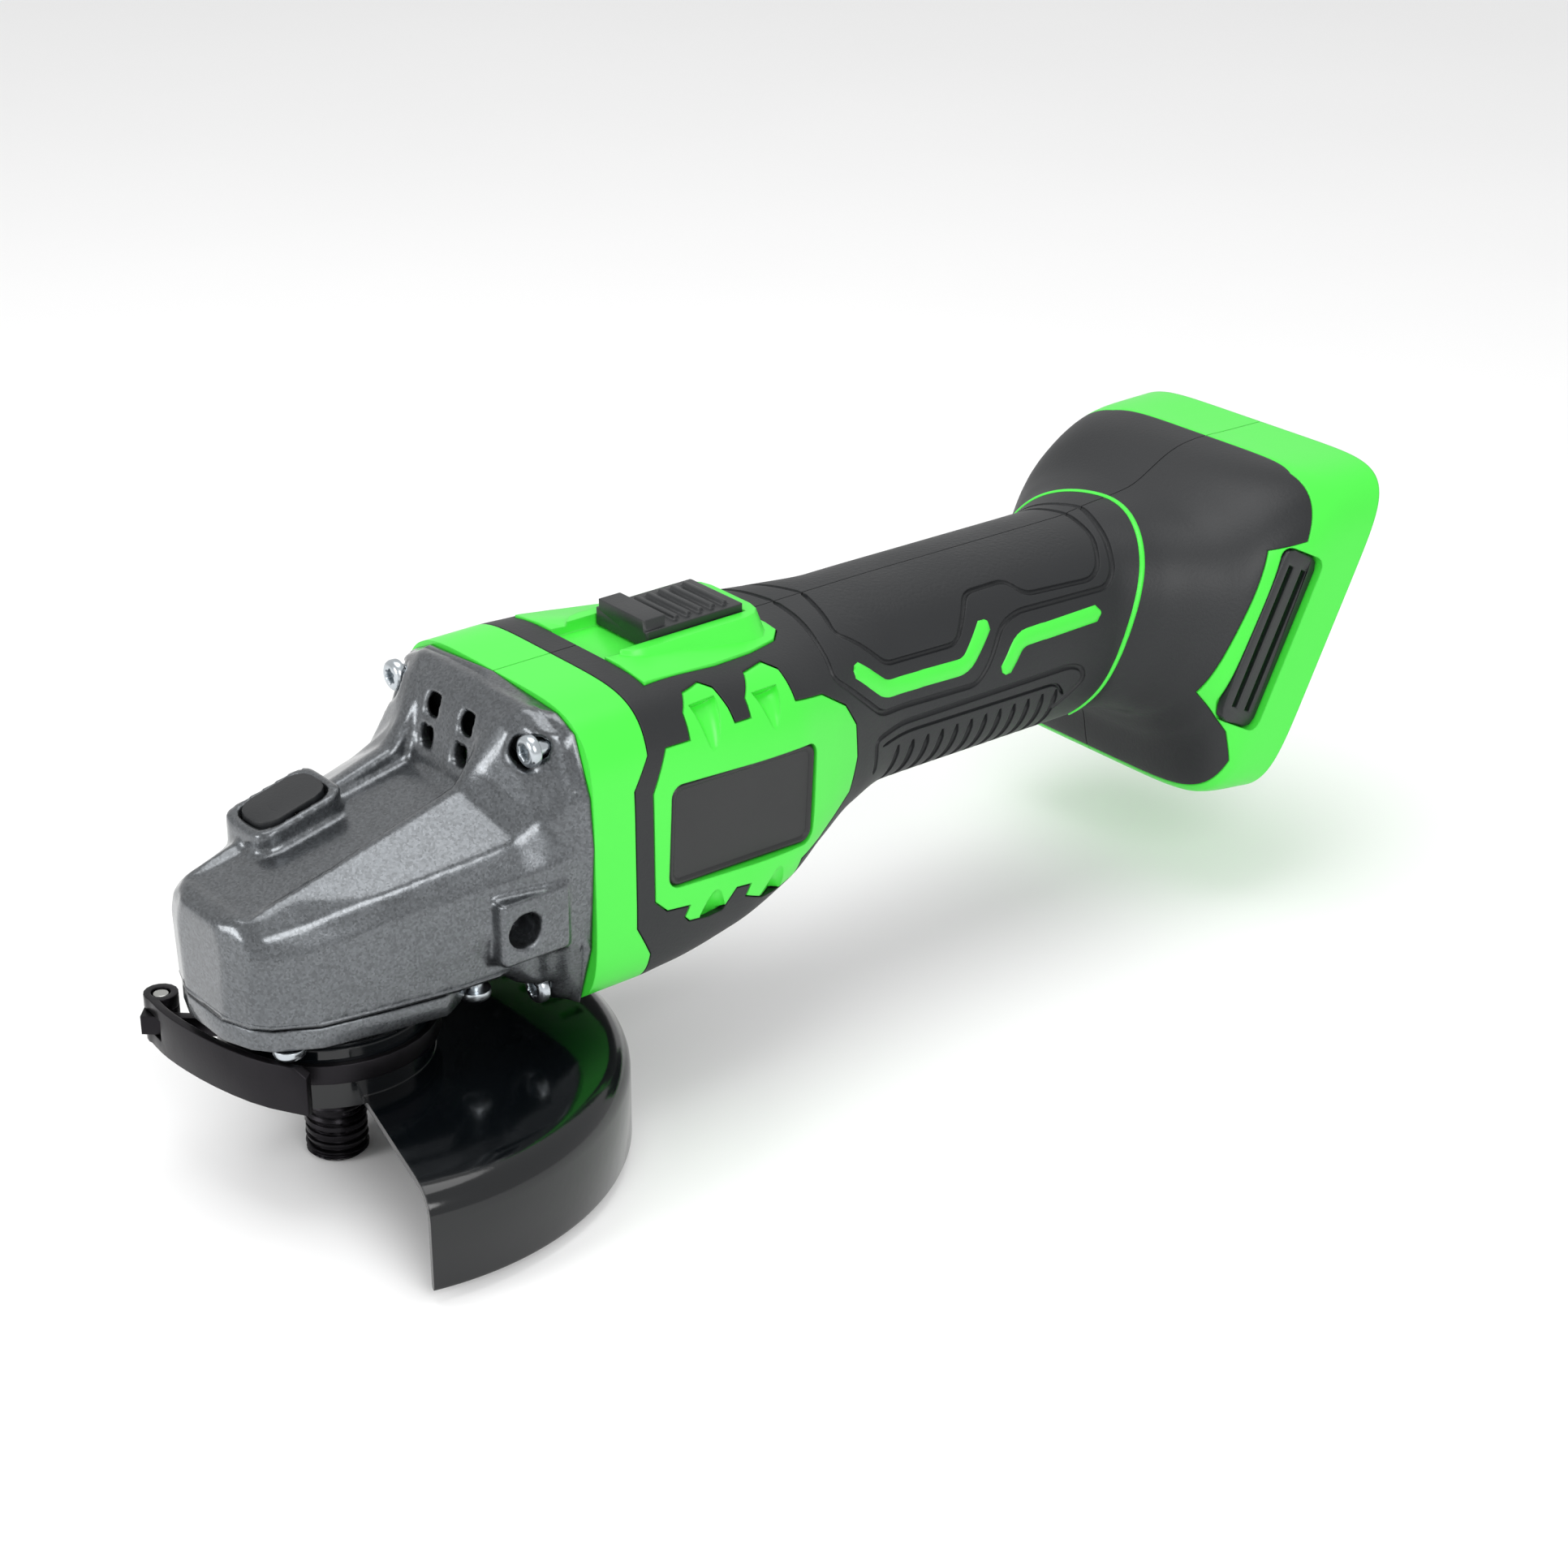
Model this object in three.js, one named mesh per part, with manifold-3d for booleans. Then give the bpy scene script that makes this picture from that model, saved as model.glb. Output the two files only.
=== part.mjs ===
// Cordless angle grinder for 115 mm wheels, shown bare: no wheel, side handle or battery.
// Millimetres. The origin is the centre of the spindle's end face, +Z runs up the spindle,
// +X runs back along the motor to the battery foot, and the shell screws enter from the +Y side.
import * as THREE from "three";
import { mergeVertices } from "three/addons/utils/BufferGeometryUtils.js";
import Module from "manifold-3d";

const wasm = await Module();
wasm.setup();

// ---------------------------------------------------------------- driving dimensions
const GAP = 0.3; // between pieces that touch
const RUN = 0.4; // round pieces that move
const DEG = Math.PI / 180;

// spindle, its bearings and the bevel gears
const THREAD_R = 7; // M14
const THREAD_LENGTH = 13;
const BAND_R = 6.7;
const SHOULDER_R = 8.2;
const SEAT_R = 5.7;
const SPINDLE_TOP_Z = 69;
const BUSH_R = 7.5;
const BEARING_Z = 31.5; // underside of the spindle bearing
const BEARING_OUTER_R = 16;
const BEARING_INNER_R = 8.6;
const BEARING_WIDTH = 10;
const MOTOR_Z = 66.5;
const CROWN_TEETH = 38;
const PINION_TEETH = 10;
const GEAR_MODULE = 1;
const TOOTH_FACE = 5;
const TOOTH_HEIGHT = 0.72; // addendum, as a share of the module
const TOOTH_DEPTH = 1.05; // dedendum, as a share of the module
const TOOTH_WIDTH = 0.55; // half tooth at the pitch line, as a share of the module
const CROWN_RIM_Z = 53; // underside of the crown wheel's rim
const CROWN_HUB_R = 10.6;

// gear housing and its cover
const NOSE_X = -29.5;
const SEAM_X = 46;
const HOUSING_Z = 46; // joint between housing and cover
const COVER_Z = 41;
const COVER_R = 30.5;
const NECK_R = 20.3;
const NECK_Z = 27;
const CHAMBER_R = 22.3;
const CHAMBER_TOP_Z = 64.2;
const COVER_SCREWS = [[-19.8, 17], [24.3, 20.7]]; // front and rear pair, one each side
const SCREW_HEAD_R = 3.6;
const SCREW_HEAD_HEIGHT = 2.4;
const PLATFORM_X0 = -22.7;
const PLATFORM_X1 = 30;
const PLATFORM_Z0 = 70;
const PLATFORM_Z1 = 81.6;
const PLATFORM_Y = 11;
const COLLAR_SCREW_X = 36.4;
const COLLAR_SCREW_Y = 25.5;
const COLLAR_SCREW_UP = 28.2; // above and below about MOTOR_Z
const SIDE_HOLE_X = 28.5;
const SIDE_HOLE_Z = 59;
const SIDE_HOLE_R = 4; // M8
const SIDE_BOSS_Y = 35.2;
const VENT = [4.6, 4.6]; // width, height

// spindle lock
const LOCK_Y = 11.2;
const LOCK_PIN_R = 1.8;
const LOCK_TRAVEL = 4;
const LOCK_SPRING_R = 3;
const LOCK_TOP_Z = 81.2;
const LOCK_BOSS_Y = 13;
const LOCK_BOSS_SIZE = [22, 17];
const SPINDLE_TOP_R = 5;
const CIRCLIP_Z = 62.1;
const PINION_BORE = 1.9;
const COLLAR_SCREW_LENGTH = 20;

// motor
const SHAFT_R = 4;
const SHAFT_END_X = 121;
const ROTOR_R = 12;
const MAGNET_R = 14;
const AIR_GAP = 0.6;
const STATOR_R = 24;
const STATOR_X = 71;
const STATOR_LENGTH = 24;
const STATOR_SLOTS = 6;
const FAN_R = 27.5;
const FAN_X = 52;
const FAN_WIDTH = 12;
const FAN_BLADES = 9;
const BALL_BEARING_R = 11;
const BALL_BEARING_WIDTH = 7;
const FRONT_BEARING_X = 24.5;

// body shells, grip and foot
const BODY_W = 35.7;
const BODY_H = 35.5;
const HANDLE_W = 24.3;
const HANDLE_H = 24.7;
const HANDLE_Z = 73.3;
const HANDLE_X0 = 145;
const HANDLE_X1 = 212;
const FOOT_W = 45.7;
const FOOT_H = 44.75;
const FOOT_X = 265.4;
const FOOT_Z = 66.4;
const FOOT_TILT = 27.43;
const SKIN = 1.5; // rubber overmould
const WALL = 2.6; // shell
const SKIN_X0 = 61.5; // front edge of the rubber, above and below
const SKIN_FLANK_X = 57.3; // and on the flanks
const SPLIT = 0.15; // half the gap between the shell halves
const PANEL_X0 = 62.2;
const PLATE_SIZE = [42, 24];
const PLATE_X = 87.5;
const PLATE_Z = 67.8;
const PLATE_DEPTH = 2;
const PLATE_TURN = 3; // inwards at the rear, with the body's side
const PLATE_DROP = 3; // downwards at the rear
const RECESS = [35, 31]; // half width and half height of the battery recess
const RECESS_DEPTH = 15;
const GRILLE = [13, 45]; // along the foot's depth and height
const GRILLE_CENTRE = [-19, -5.5];
const GRILLE_DEPTH = 2.4;
const SHELL_SCREWS = [[67.5, 37], [67.5, 93.5], [135, 73], [205, 73], [245, 84]];
const SHELL_BOSS_R = 3.2;
const SCREW_WELL_R = 5.2;

// switch
const SLIDER_X = 94; // centre, in the off position at the rear
const SLIDER_LENGTH = 27;
const SLIDER_WIDTH = 19;
const SLIDER_TRAVEL = 7;
const SLIDER_Z = 100.6; // underside of the slider's plate
const SLIDER_HEIGHT = 4.2;
const BEZEL_Z = 96.6;
const BEZEL_TOP_Z = 103;
const BEZEL_X0 = 69.5;
const BEZEL_X1 = 114;
const BEZEL_WIDTH = 32;
const BEZEL_SKIRT = 2; // its depth below the body's surface
const STEM = [8, 6]; // length and width of the slider's stem
const LINK_Z = 91;
const LINK_HEIGHT = 1.6;
const MICRO_X = 112;
const MICRO_LENGTH = 12;

// guard, for a 115 mm wheel
const GUARD_R = 65;
const GUARD_WALL = 1.6;
const GUARD_TOP_Z = 25.2;
const GUARD_BOTTOM_Z = 2.25;
const GUARD_START = -104.5;
const GUARD_SWEEP = 185;
const COLLAR_TOP_Z = 38;
const COLLAR_WALL = 1.7;
const LEVER_PIVOT = [-27, 24.5];
const LEVER_PIN_R = 1.8;
const LEVER_Z = 27;
const LEVER_HEIGHT = 11;
const LEVER_WALL = 1.8;
const KNUCKLE = 3; // height of each of the lever's knuckles

// ---------------------------------------------------------------- helpers
// The matrix that turns a shape by degrees about X, Y and Z and then moves it.
function at(x, y, z, ax = 0, ay = 0, az = 0) {
  const turn = new THREE.Matrix4().makeRotationFromEuler(new THREE.Euler(ax * DEG, ay * DEG, az * DEG));
  return turn.setPosition(x, y, z);
}

// A three.js geometry as a closed solid, placed by a matrix.
function solid(geometry, place = new THREE.Matrix4()) {
  const bare = geometry.clone().applyMatrix4(place);
  bare.deleteAttribute("normal");
  bare.deleteAttribute("uv");
  const merged = mergeVertices(bare, 1e-4);
  const index = merged.index.array;
  const faces = [];
  for (let i = 0; i < index.length; i += 3) {
    const [a, b, c] = [index[i], index[i + 1], index[i + 2]];
    if (a !== b && b !== c && c !== a) faces.push(a, b, c);
  }
  const vertProperties = merged.attributes.position.array;
  const whole = new wasm.Manifold(
    new wasm.Mesh({ numProp: 3, vertProperties, triVerts: new Uint32Array(faces) }),
  );
  if (whole.volume() > 0) return whole;
  return new wasm.Manifold(
    new wasm.Mesh({ numProp: 3, vertProperties, triVerts: new Uint32Array(faces.reverse()) }),
  );
}

const join = (first, ...rest) => rest.reduce((sum, piece) => sum.add(piece), first);
const cut = (first, ...rest) => rest.reduce((left, piece) => left.subtract(piece), first);

function box(x0, x1, y0, y1, z0, z1, place = new THREE.Matrix4()) {
  const middle = at((x0 + x1) / 2, (y0 + y1) / 2, (z0 + z1) / 2);
  return solid(new THREE.BoxGeometry(x1 - x0, y1 - y0, z1 - z0), middle.premultiply(place));
}

// A turned shape about the local Z axis, from [radius, height] points.
function turned(profile, sides = 32, place = new THREE.Matrix4()) {
  const points = profile.map(([r, z]) => new THREE.Vector2(r, z));
  return solid(new THREE.LatheGeometry(points, sides).rotateX(Math.PI / 2), place);
}

function rod(radius, z0, z1, sides = 32, place = new THREE.Matrix4()) {
  return turned([[0, z0], [radius, z0], [radius, z1], [0, z1]], sides, place);
}

function tube(outer, inner, z0, z1, sides = 32, place = new THREE.Matrix4()) {
  const profile = [[inner, z0], [outer, z0], [outer, z1], [inner, z1], [inner, z0]];
  return turned(profile, sides, place);
}

// An outline in XY, raised from z0 to z1 and then placed.
function prism(outline, z0, z1, place = new THREE.Matrix4()) {
  const shape = new THREE.Shape(outline.map(([x, y]) => new THREE.Vector2(x, y)));
  const raised = new THREE.ExtrudeGeometry(shape, { depth: z1 - z0, bevelEnabled: false });
  return solid(raised.translate(0, 0, z0), place);
}

// A rounded rectangle centred on the origin, as outline points.
function roundedOutline(halfW, halfH, radius, steps = 3) {
  const corners = [[1, 1, 0], [-1, 1, 90], [-1, -1, 180], [1, -1, 270]];
  return corners.flatMap(([sx, sy, start]) =>
    Array.from({ length: steps + 1 }, (_, k) => {
      const angle = (start + (90 * k) / steps) * DEG;
      const x = sx * (halfW - radius) + radius * Math.cos(angle);
      return [x, sy * (halfH - radius) + radius * Math.sin(angle)];
    }),
  );
}

// A closed skin through rings of equal point counts, with flat fans at both ends.
function loft(rings) {
  const count = rings[0].length;
  const middle = (ring) => ring.reduce((sum, p) => sum.map((v, k) => v + p[k] / count), [0, 0, 0]);
  const points = [...rings.flat(), middle(rings[0]), middle(rings.at(-1))];
  const index = [];
  for (let i = 0; i < rings.length - 1; i += 1) {
    for (let k = 0; k < count; k += 1) {
      const [a, b] = [i * count + k, i * count + ((k + 1) % count)];
      index.push(a, b, b + count, a, b + count, a + count);
    }
  }
  const last = (rings.length - 1) * count;
  for (let k = 0; k < count; k += 1) {
    index.push(rings.length * count, (k + 1) % count, k);
    index.push(rings.length * count + 1, last + k, last + ((k + 1) % count));
  }
  const geometry = new THREE.BufferGeometry();
  geometry.setAttribute("position", new THREE.Float32BufferAttribute(points.flat(), 3));
  geometry.setIndex(index);
  return solid(geometry);
}

const group = new THREE.Group();

// Adds a finished solid to the group as one named piece.
function add(name, whole, color, roughness, metalness = 0) {
  const mesh = whole.getMesh();
  const geometry = new THREE.BufferGeometry();
  geometry.setAttribute("position", new THREE.BufferAttribute(mesh.vertProperties, 3));
  geometry.setIndex(new THREE.BufferAttribute(mesh.triVerts, 1));
  const flat = geometry.toNonIndexed();
  flat.computeVertexNormals();
  const piece = new THREE.Mesh(flat, new THREE.MeshStandardMaterial({ color, roughness, metalness }));
  piece.name = name;
  group.add(piece);
}

const GREEN = 0x3fe03f;
const BLACK = 0x2b2e33;
const GLOSS_BLACK = 0x0b0d10;
const CAST_GREY = 0x77797c;
const STEEL = 0xb9b6b0;
const ZINC = 0xd0d3d6;
const COPPER = 0xb5713a;
const BLACK_STEEL = 0x2f2a2a;

// The matrix that lays a turned shape along X, starting at x on the motor's axis.
const onMotor = (x) => at(x, 0, MOTOR_Z, 0, 90, 0);

// ---------------------------------------------------------------- gear housing
const PITCH = (CROWN_TEETH * GEAR_MODULE) / 2;
const PINION_PITCH = (PINION_TEETH * GEAR_MODULE) / 2;

// One ring of the gear housing at x, from half-outline points [y, z], mirrored about y = 0.
function housingRing(x, half) {
  const far = half.slice(1, -1).map(([y, z]) => [x, y, z]).reverse();
  const near = half.map(([y, z]) => [x, -y, z]);
  return [...near, ...far].reverse();
}

// Half outlines from bottom centre to top centre: the nose widens to the round-cornered seam.
function housingSkin(inset = 0) {
  const rear = MOTOR_Z - BODY_H;
  const stations = [
    [NOSE_X, [0, 46], [7, 46], [8, 47], [8.5, 54], [9, 62], [8, 66], [7, 68], [6, 68.6], [0, 68.6]],
    [-27, [0, 46], [14, 46], [15, 47], [15.5, 54], [16, 62], [14.5, 66.5], [11.5, 69], [10, 69.6], [0, 69.6]],
    [-24, [0, 46], [17.5, 46], [18.5, 47], [18.5, 54], [18.5, 62], [17, 67], [13.5, 70], [12, 70.6], [0, 70.6]],
    [-15, [0, 46], [22.6, 46], [23.6, 47], [23, 55], [21.5, 63.5], [19.5, 68.5], [14.2, 72.5], [13, 73], [0, 73]],
    [0, [0, 46], [25.6, 46], [26.6, 47], [26.5, 56], [25.5, 66], [23.7, 72], [14.8, 76.6], [13.5, 77], [0, 77]],
    [15, [0, 46], [28, 46], [29, 47], [29.5, 57], [29, 68], [26.7, 74.6], [15.4, 80.8], [14, 81.2], [0, 81.2]],
    [27, [0, 46], [28.5, 46], [29.6, 47.5], [31.5, 58], [31.8, 69.5], [28.8, 76.6], [15.8, 84.4], [14.4, 84.8],
      [0, 84.8]],
    [31, [0, 42], [28, 42], [30, 44], [32.5, 58], [32.6, 70], [29.2, 77.2], [17, 88.4], [15, 90], [0, 90]],
    [36, [0, 38], [26.5, 38], [29.5, 40], [33.8, 56], [33.8, 71], [30, 80], [20.5, 97], [17, 98.6], [0, 98.6]],
    [41, [0, 34], [25, 34], [29.2, 36], [34.3, 52], [34.6, 72], [32.5, 83], [27, 98], [20, 101.6], [0, 102]],
    [SEAM_X, [0, rear], [23.5, rear + 0.4], [28.9, rear + 1.8], [33.9, rear + 17], [BODY_W, MOTOR_Z + 6.5],
      [34.8, MOTOR_Z + 18], [29.8, MOTOR_Z + 31], [23.8, MOTOR_Z + 33.8], [0, MOTOR_Z + BODY_H]],
  ];
  const middle = MOTOR_Z;
  return loft(
    stations.map(([x, ...half]) => {
      const shrunk = half.map(([y, z]) => {
        const reach = Math.hypot(y, z - middle) || 1;
        return [y - (inset * y) / reach, z - (inset * (z - middle)) / reach];
      });
      return housingRing(x, shrunk);
    }),
  );
}

// The sunken platform on the nose and the steep wall behind it.
function platformCut() {
  const foot = [
    [PLATFORM_X0 - 2.5, 12.6, PLATFORM_Z0 - 0.4],
    [PLATFORM_X1, PLATFORM_Y, PLATFORM_Z1],
    [PLATFORM_X1 + 5.4, PLATFORM_Y + 1.6, PLATFORM_Z1 + 17],
  ];
  return loft(
    foot.map(([x, y, z]) => [[x, -y, z], [x, y, z], [x, y + 1.6, 110], [x, -y - 1.6, 110]].reverse()),
  );
}

// The raised boss that frames the spindle lock's button.
function lockBoss(grow, z0, z1) {
  const [length, width] = LOCK_BOSS_SIZE;
  const outline = roundedOutline(length / 2 + grow, width / 2 + grow, 4);
  return prism(outline, z0, z1, at(0, LOCK_BOSS_Y, 0));
}

function gearHousing() {
  const rear = cut(housingSkin(3), box(NOSE_X - 1, FRONT_BEARING_X + 11, -50, 50, 0, 120));
  const slope = (PLATFORM_Z1 - PLATFORM_Z0) / (PLATFORM_X1 - PLATFORM_X0);
  const bossTop = at(0, 0, PLATFORM_Z0 - PLATFORM_X0 * slope + 5.2, 0, -14, 0);
  let whole = cut(housingSkin(), platformCut());
  const boss = cut(lockBoss(0, 66, 92), box(-30, 30, -30, 30, 0, 30, bossTop));
  whole = join(whole, boss);
  whole = cut(whole, lockBoss(-2.2, LOCK_TOP_Z - LOCK_TRAVEL - 5.4, 110));
  for (const side of [1, -1]) {
    const sideBoss = [[-6, -7.5], [11, -7.5], [11, 7.5], [-6, 7.5]];
    const y = side * SIDE_BOSS_Y;
    whole = join(whole, prism(sideBoss, 0, 8, at(SIDE_HOLE_X, y, SIDE_HOLE_Z, side * 90, 0, 0)));
    whole = cut(whole, rod(SIDE_HOLE_R, -1, 9, 20, at(SIDE_HOLE_X, y, SIDE_HOLE_Z, side * 90, 0, 0)));
    for (const up of [COLLAR_SCREW_UP, -COLLAR_SCREW_UP]) {
      const place = onMotor(0).setPosition(0, side * COLLAR_SCREW_Y, MOTOR_Z + up);
      whole = cut(whole, rod(5.2, 18, COLLAR_SCREW_X + 2.2, 16, place), rod(2.3, 30, SEAM_X + 1, 12, place));
    }
    for (const [x, z] of [[34, 94.7], [31, 88]]) {
      const [w, h] = VENT;
      whole = cut(whole, box(x - 9, x + 6, side * 6.4 - w / 2, side * 6.4 + w / 2, z - h / 2, z + h / 2));
    }
  }
  const pinionRoom = rod(PINION_PITCH + 3, PITCH - TOOTH_FACE - 5, FRONT_BEARING_X + 1, 20, onMotor(0));
  return cut(
    whole,
    rear,
    rod(CHAMBER_R, HOUSING_Z - 10, CHAMBER_TOP_Z, 32),
    rod(BUSH_R + GAP, CHAMBER_TOP_Z - 1, SPINDLE_TOP_Z + 1, 20),
    pinionRoom,
    rod(BALL_BEARING_R + GAP, FRONT_BEARING_X - GAP, FRONT_BEARING_X + 12, 24, onMotor(0)),
    rod(LOCK_PIN_R + RUN, CHAMBER_TOP_Z - 1, LOCK_TOP_Z, 12, at(0, LOCK_Y, 0)),
    ...coverScrewPlaces().map((place) => rod(2.1, HOUSING_Z - 1, HOUSING_Z + 11, 10, place)),
  );
}

function coverScrewPlaces() {
  return COVER_SCREWS.flatMap(([x, y]) => [at(x, y, 0), at(x, -y, 0)]);
}

// The plate under the gear chamber, with the neck that holds the spindle bearing and the guard.
function gearboxCover() {
  const footprint = [[NOSE_X, 7], [-27, 14], [-24, 17.8], [-15, 22.8], [0, 25.8], [15, 28.2], [26.5, 28.6]];
  const outline = [...footprint, ...footprint.map(([x, y]) => [x, -y]).reverse()];
  const plate = prism(outline, COVER_Z, HOUSING_Z - GAP).intersect(rod(COVER_R, 0, 60, 40));
  const holes = coverScrewPlaces().map((place) => rod(2.1, COVER_Z - 1, HOUSING_Z, 10, place));
  return cut(
    join(plate, rod(NECK_R, NECK_Z, HOUSING_Z - 1, 40),
      rod(CHAMBER_R - GAP, HOUSING_Z - 1, HOUSING_Z + 1.5, 32)),
    rod(BEARING_OUTER_R + GAP, BEARING_Z - GAP, HOUSING_Z + 2, 36),
    rod(SHOULDER_R + RUN, NECK_Z - 1, BEARING_Z, 28),
    ...holes,
  );
}

// A pan head screw along local +Z, with its head's top at the origin's far side.
function screw(length, shank, place) {
  const [r, h] = [SCREW_HEAD_R, SCREW_HEAD_HEIGHT];
  const profile = [[0, -h], [r * 0.7, -h], [r, -h * 0.45], [r, 0], [shank, 0], [shank, length], [0, length]];
  const socket = rod(r * 0.42, -h - 1, -h * 0.35, 6, place);
  return cut(turned(profile, 10, place), socket);
}

function addGearHousing() {
  add("gear_housing", gearHousing(), CAST_GREY, 0.42, 0.6);
  add("gearbox_cover", gearboxCover(), CAST_GREY, 0.45, 0.6);
  coverScrewPlaces().forEach((place, k) => {
    const seat = place.clone().multiply(at(0, 0, COVER_Z - GAP));
    add(`cover_screw_${k + 1}`, screw(12, 1.75, seat), ZINC, 0.25, 1);
  });
  let count = 0;
  for (const side of [1, -1]) {
    for (const up of [COLLAR_SCREW_UP, -COLLAR_SCREW_UP]) {
      count += 1;
      const place = onMotor(0).setPosition(COLLAR_SCREW_X + 2.2 - GAP, side * COLLAR_SCREW_Y, MOTOR_Z + up);
      add(`collar_screw_${count}`, screw(COLLAR_SCREW_LENGTH, 1.9, place), ZINC, 0.25, 1);
    }
  }
}

// ---------------------------------------------------------------- spindle, bearings and gears
function addSpindle() {
  const profile = [
    [0, 0], [THREAD_R - 1, 0], [THREAD_R, 1], [THREAD_R, THREAD_LENGTH], [BAND_R, THREAD_LENGTH + 0.3],
    [BAND_R, NECK_Z - 3], [SHOULDER_R, NECK_Z - 3], [SHOULDER_R, BEARING_Z - GAP], [SEAT_R, BEARING_Z - GAP],
    [SEAT_R, CIRCLIP_Z], [SEAT_R - 0.8, CIRCLIP_Z], [SEAT_R - 0.8, CIRCLIP_Z + 1.4], [SEAT_R, CIRCLIP_Z + 1.4],
    [SEAT_R, CIRCLIP_Z + 1.6], [SPINDLE_TOP_R, CIRCLIP_Z + 1.9], [SPINDLE_TOP_R, SPINDLE_TOP_Z],
    [0, SPINDLE_TOP_Z],
  ];
  add("spindle", turned(profile, 32), BLACK_STEEL, 0.45, 0.9);
  const top = BEARING_Z + BEARING_WIDTH;
  const middle = (BEARING_OUTER_R + BEARING_INNER_R) / 2;
  add("spindle_bearing_outer", tube(BEARING_OUTER_R, middle + 0.8, BEARING_Z, top, 36), STEEL, 0.25, 1);
  add("spindle_bearing_inner", tube(middle - 0.8, SEAT_R + GAP, BEARING_Z, top, 36), STEEL, 0.25, 1);
  const bushTop = SPINDLE_TOP_Z + 0.4;
  add("spindle_top_bush", tube(BUSH_R, SPINDLE_TOP_R + RUN, CHAMBER_TOP_Z, bushTop, 24), 0xa98a4a, 0.5, 1);
  const clip = tube(SEAT_R + 2.2, SEAT_R - 0.5, CIRCLIP_Z + GAP, CIRCLIP_Z + 1.1, 24);
  add("spindle_circlip", cut(clip, box(0, 12, -1.6, 1.6, 0, 90)), BLACK_STEEL, 0.4, 0.9);
}

// A straight bevel gear whose pitch cone has its tip at the local origin and opens along +Z.
// Every tooth is one outline in the plane of the large end, shrunk towards the cone's tip.
function bevelGear(teeth, mate, bodyProfile, sides, turn) {
  const pitch = (teeth * GEAR_MODULE) / 2;
  const cone = Math.atan2(teeth, mate);
  const reach = Math.hypot(teeth, mate) * GEAR_MODULE * 0.5;
  const shrink = (reach - TOOTH_FACE) / reach;
  const half = TOOTH_WIDTH * GEAR_MODULE;
  const up = TOOTH_HEIGHT * GEAR_MODULE;
  const down = (TOOTH_DEPTH + 0.5) * GEAR_MODULE;
  const flank = Math.tan(22 * DEG);
  const outline = [[-half + up * flank, up], [half - up * flank, up], [half + down * flank, -down],
    [-half - down * flank, -down]];
  const end = (scale) => outline.map(([across, out]) => {
    const r = pitch + out * Math.cos(cone);
    const z = pitch / Math.tan(cone) - out * Math.sin(cone);
    return [r * scale, across * scale, z * scale];
  });
  const tooth = (angle) => {
    const [c, s] = [Math.cos(angle), Math.sin(angle)];
    const spin = ([x, y, z]) => [x * c - y * s, x * s + y * c, z];
    return loft([end(shrink).map(spin), end(1).map(spin)]);
  };
  const angles = Array.from({ length: teeth }, (_, k) => (k + turn) * ((2 * Math.PI) / teeth));
  return join(turned(bodyProfile, sides), ...angles.map(tooth));
}

function addGears() {
  // Crown wheel: its cone tip is where the two axes cross, and it opens downwards.
  const reach = Math.hypot(PITCH, PINION_PITCH);
  const shrink = (reach - TOOTH_FACE) / reach;
  const root = TOOTH_DEPTH * GEAR_MODULE;
  const [across, along] = [PITCH / reach, PINION_PITCH / reach];
  const crownRoot = [PITCH - root * along, PINION_PITCH + root * across];
  const face = crownRoot[1] * shrink;
  const back = MOTOR_Z - CROWN_RIM_Z;
  const hub = MOTOR_Z - BEARING_Z - BEARING_WIDTH - GAP;
  const bore = SEAT_R + GAP;
  const crownBody = [
    [bore, face], [crownRoot[0] * shrink, face], crownRoot, [PITCH + 0.3, crownRoot[1]],
    [PITCH + 0.3, back - 3], [CROWN_HUB_R + 4, back], [CROWN_HUB_R, back + 1], [CROWN_HUB_R, hub], [bore, hub],
    [bore, face],
  ];
  const crown = bevelGear(CROWN_TEETH, PINION_TEETH, crownBody, CROWN_TEETH, 0.5);
  const holes = [0, 90, 180, 270].map((angle) => {
    const place = at(0, 0, 0, 0, 0, angle).multiply(at(LOCK_Y, 0, 0));
    return rod(LOCK_PIN_R + RUN, 0, face + 7, 12, place);
  });
  add("crown_wheel", placed(cut(crown, ...holes), at(0, 0, MOTOR_Z, 180, 0, 0)), STEEL, 0.35, 1);
  const pinionRoot = [PINION_PITCH - root * across, PITCH + root * along];
  const [inner, end] = [PINION_BORE + GAP, PITCH + 1.6];
  const pinionBody = [
    [inner, pinionRoot[1] * shrink], [pinionRoot[0] * shrink, pinionRoot[1] * shrink], pinionRoot,
    [pinionRoot[0], end], [inner, end], [inner, pinionRoot[1] * shrink],
  ];
  const pinion = bevelGear(PINION_TEETH, CROWN_TEETH, pinionBody, PINION_TEETH * 2, 0);
  add("pinion", placed(pinion, at(0, 0, MOTOR_Z, 0, 90, 0)), STEEL, 0.35, 1);
}

// A finished solid moved by a matrix.
function placed(whole, place) {
  const mesh = whole.getMesh();
  const geometry = new THREE.BufferGeometry();
  geometry.setAttribute("position", new THREE.BufferAttribute(mesh.vertProperties, 3));
  geometry.setIndex(new THREE.BufferAttribute(mesh.triVerts, 1));
  return solid(geometry, place);
}

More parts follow.
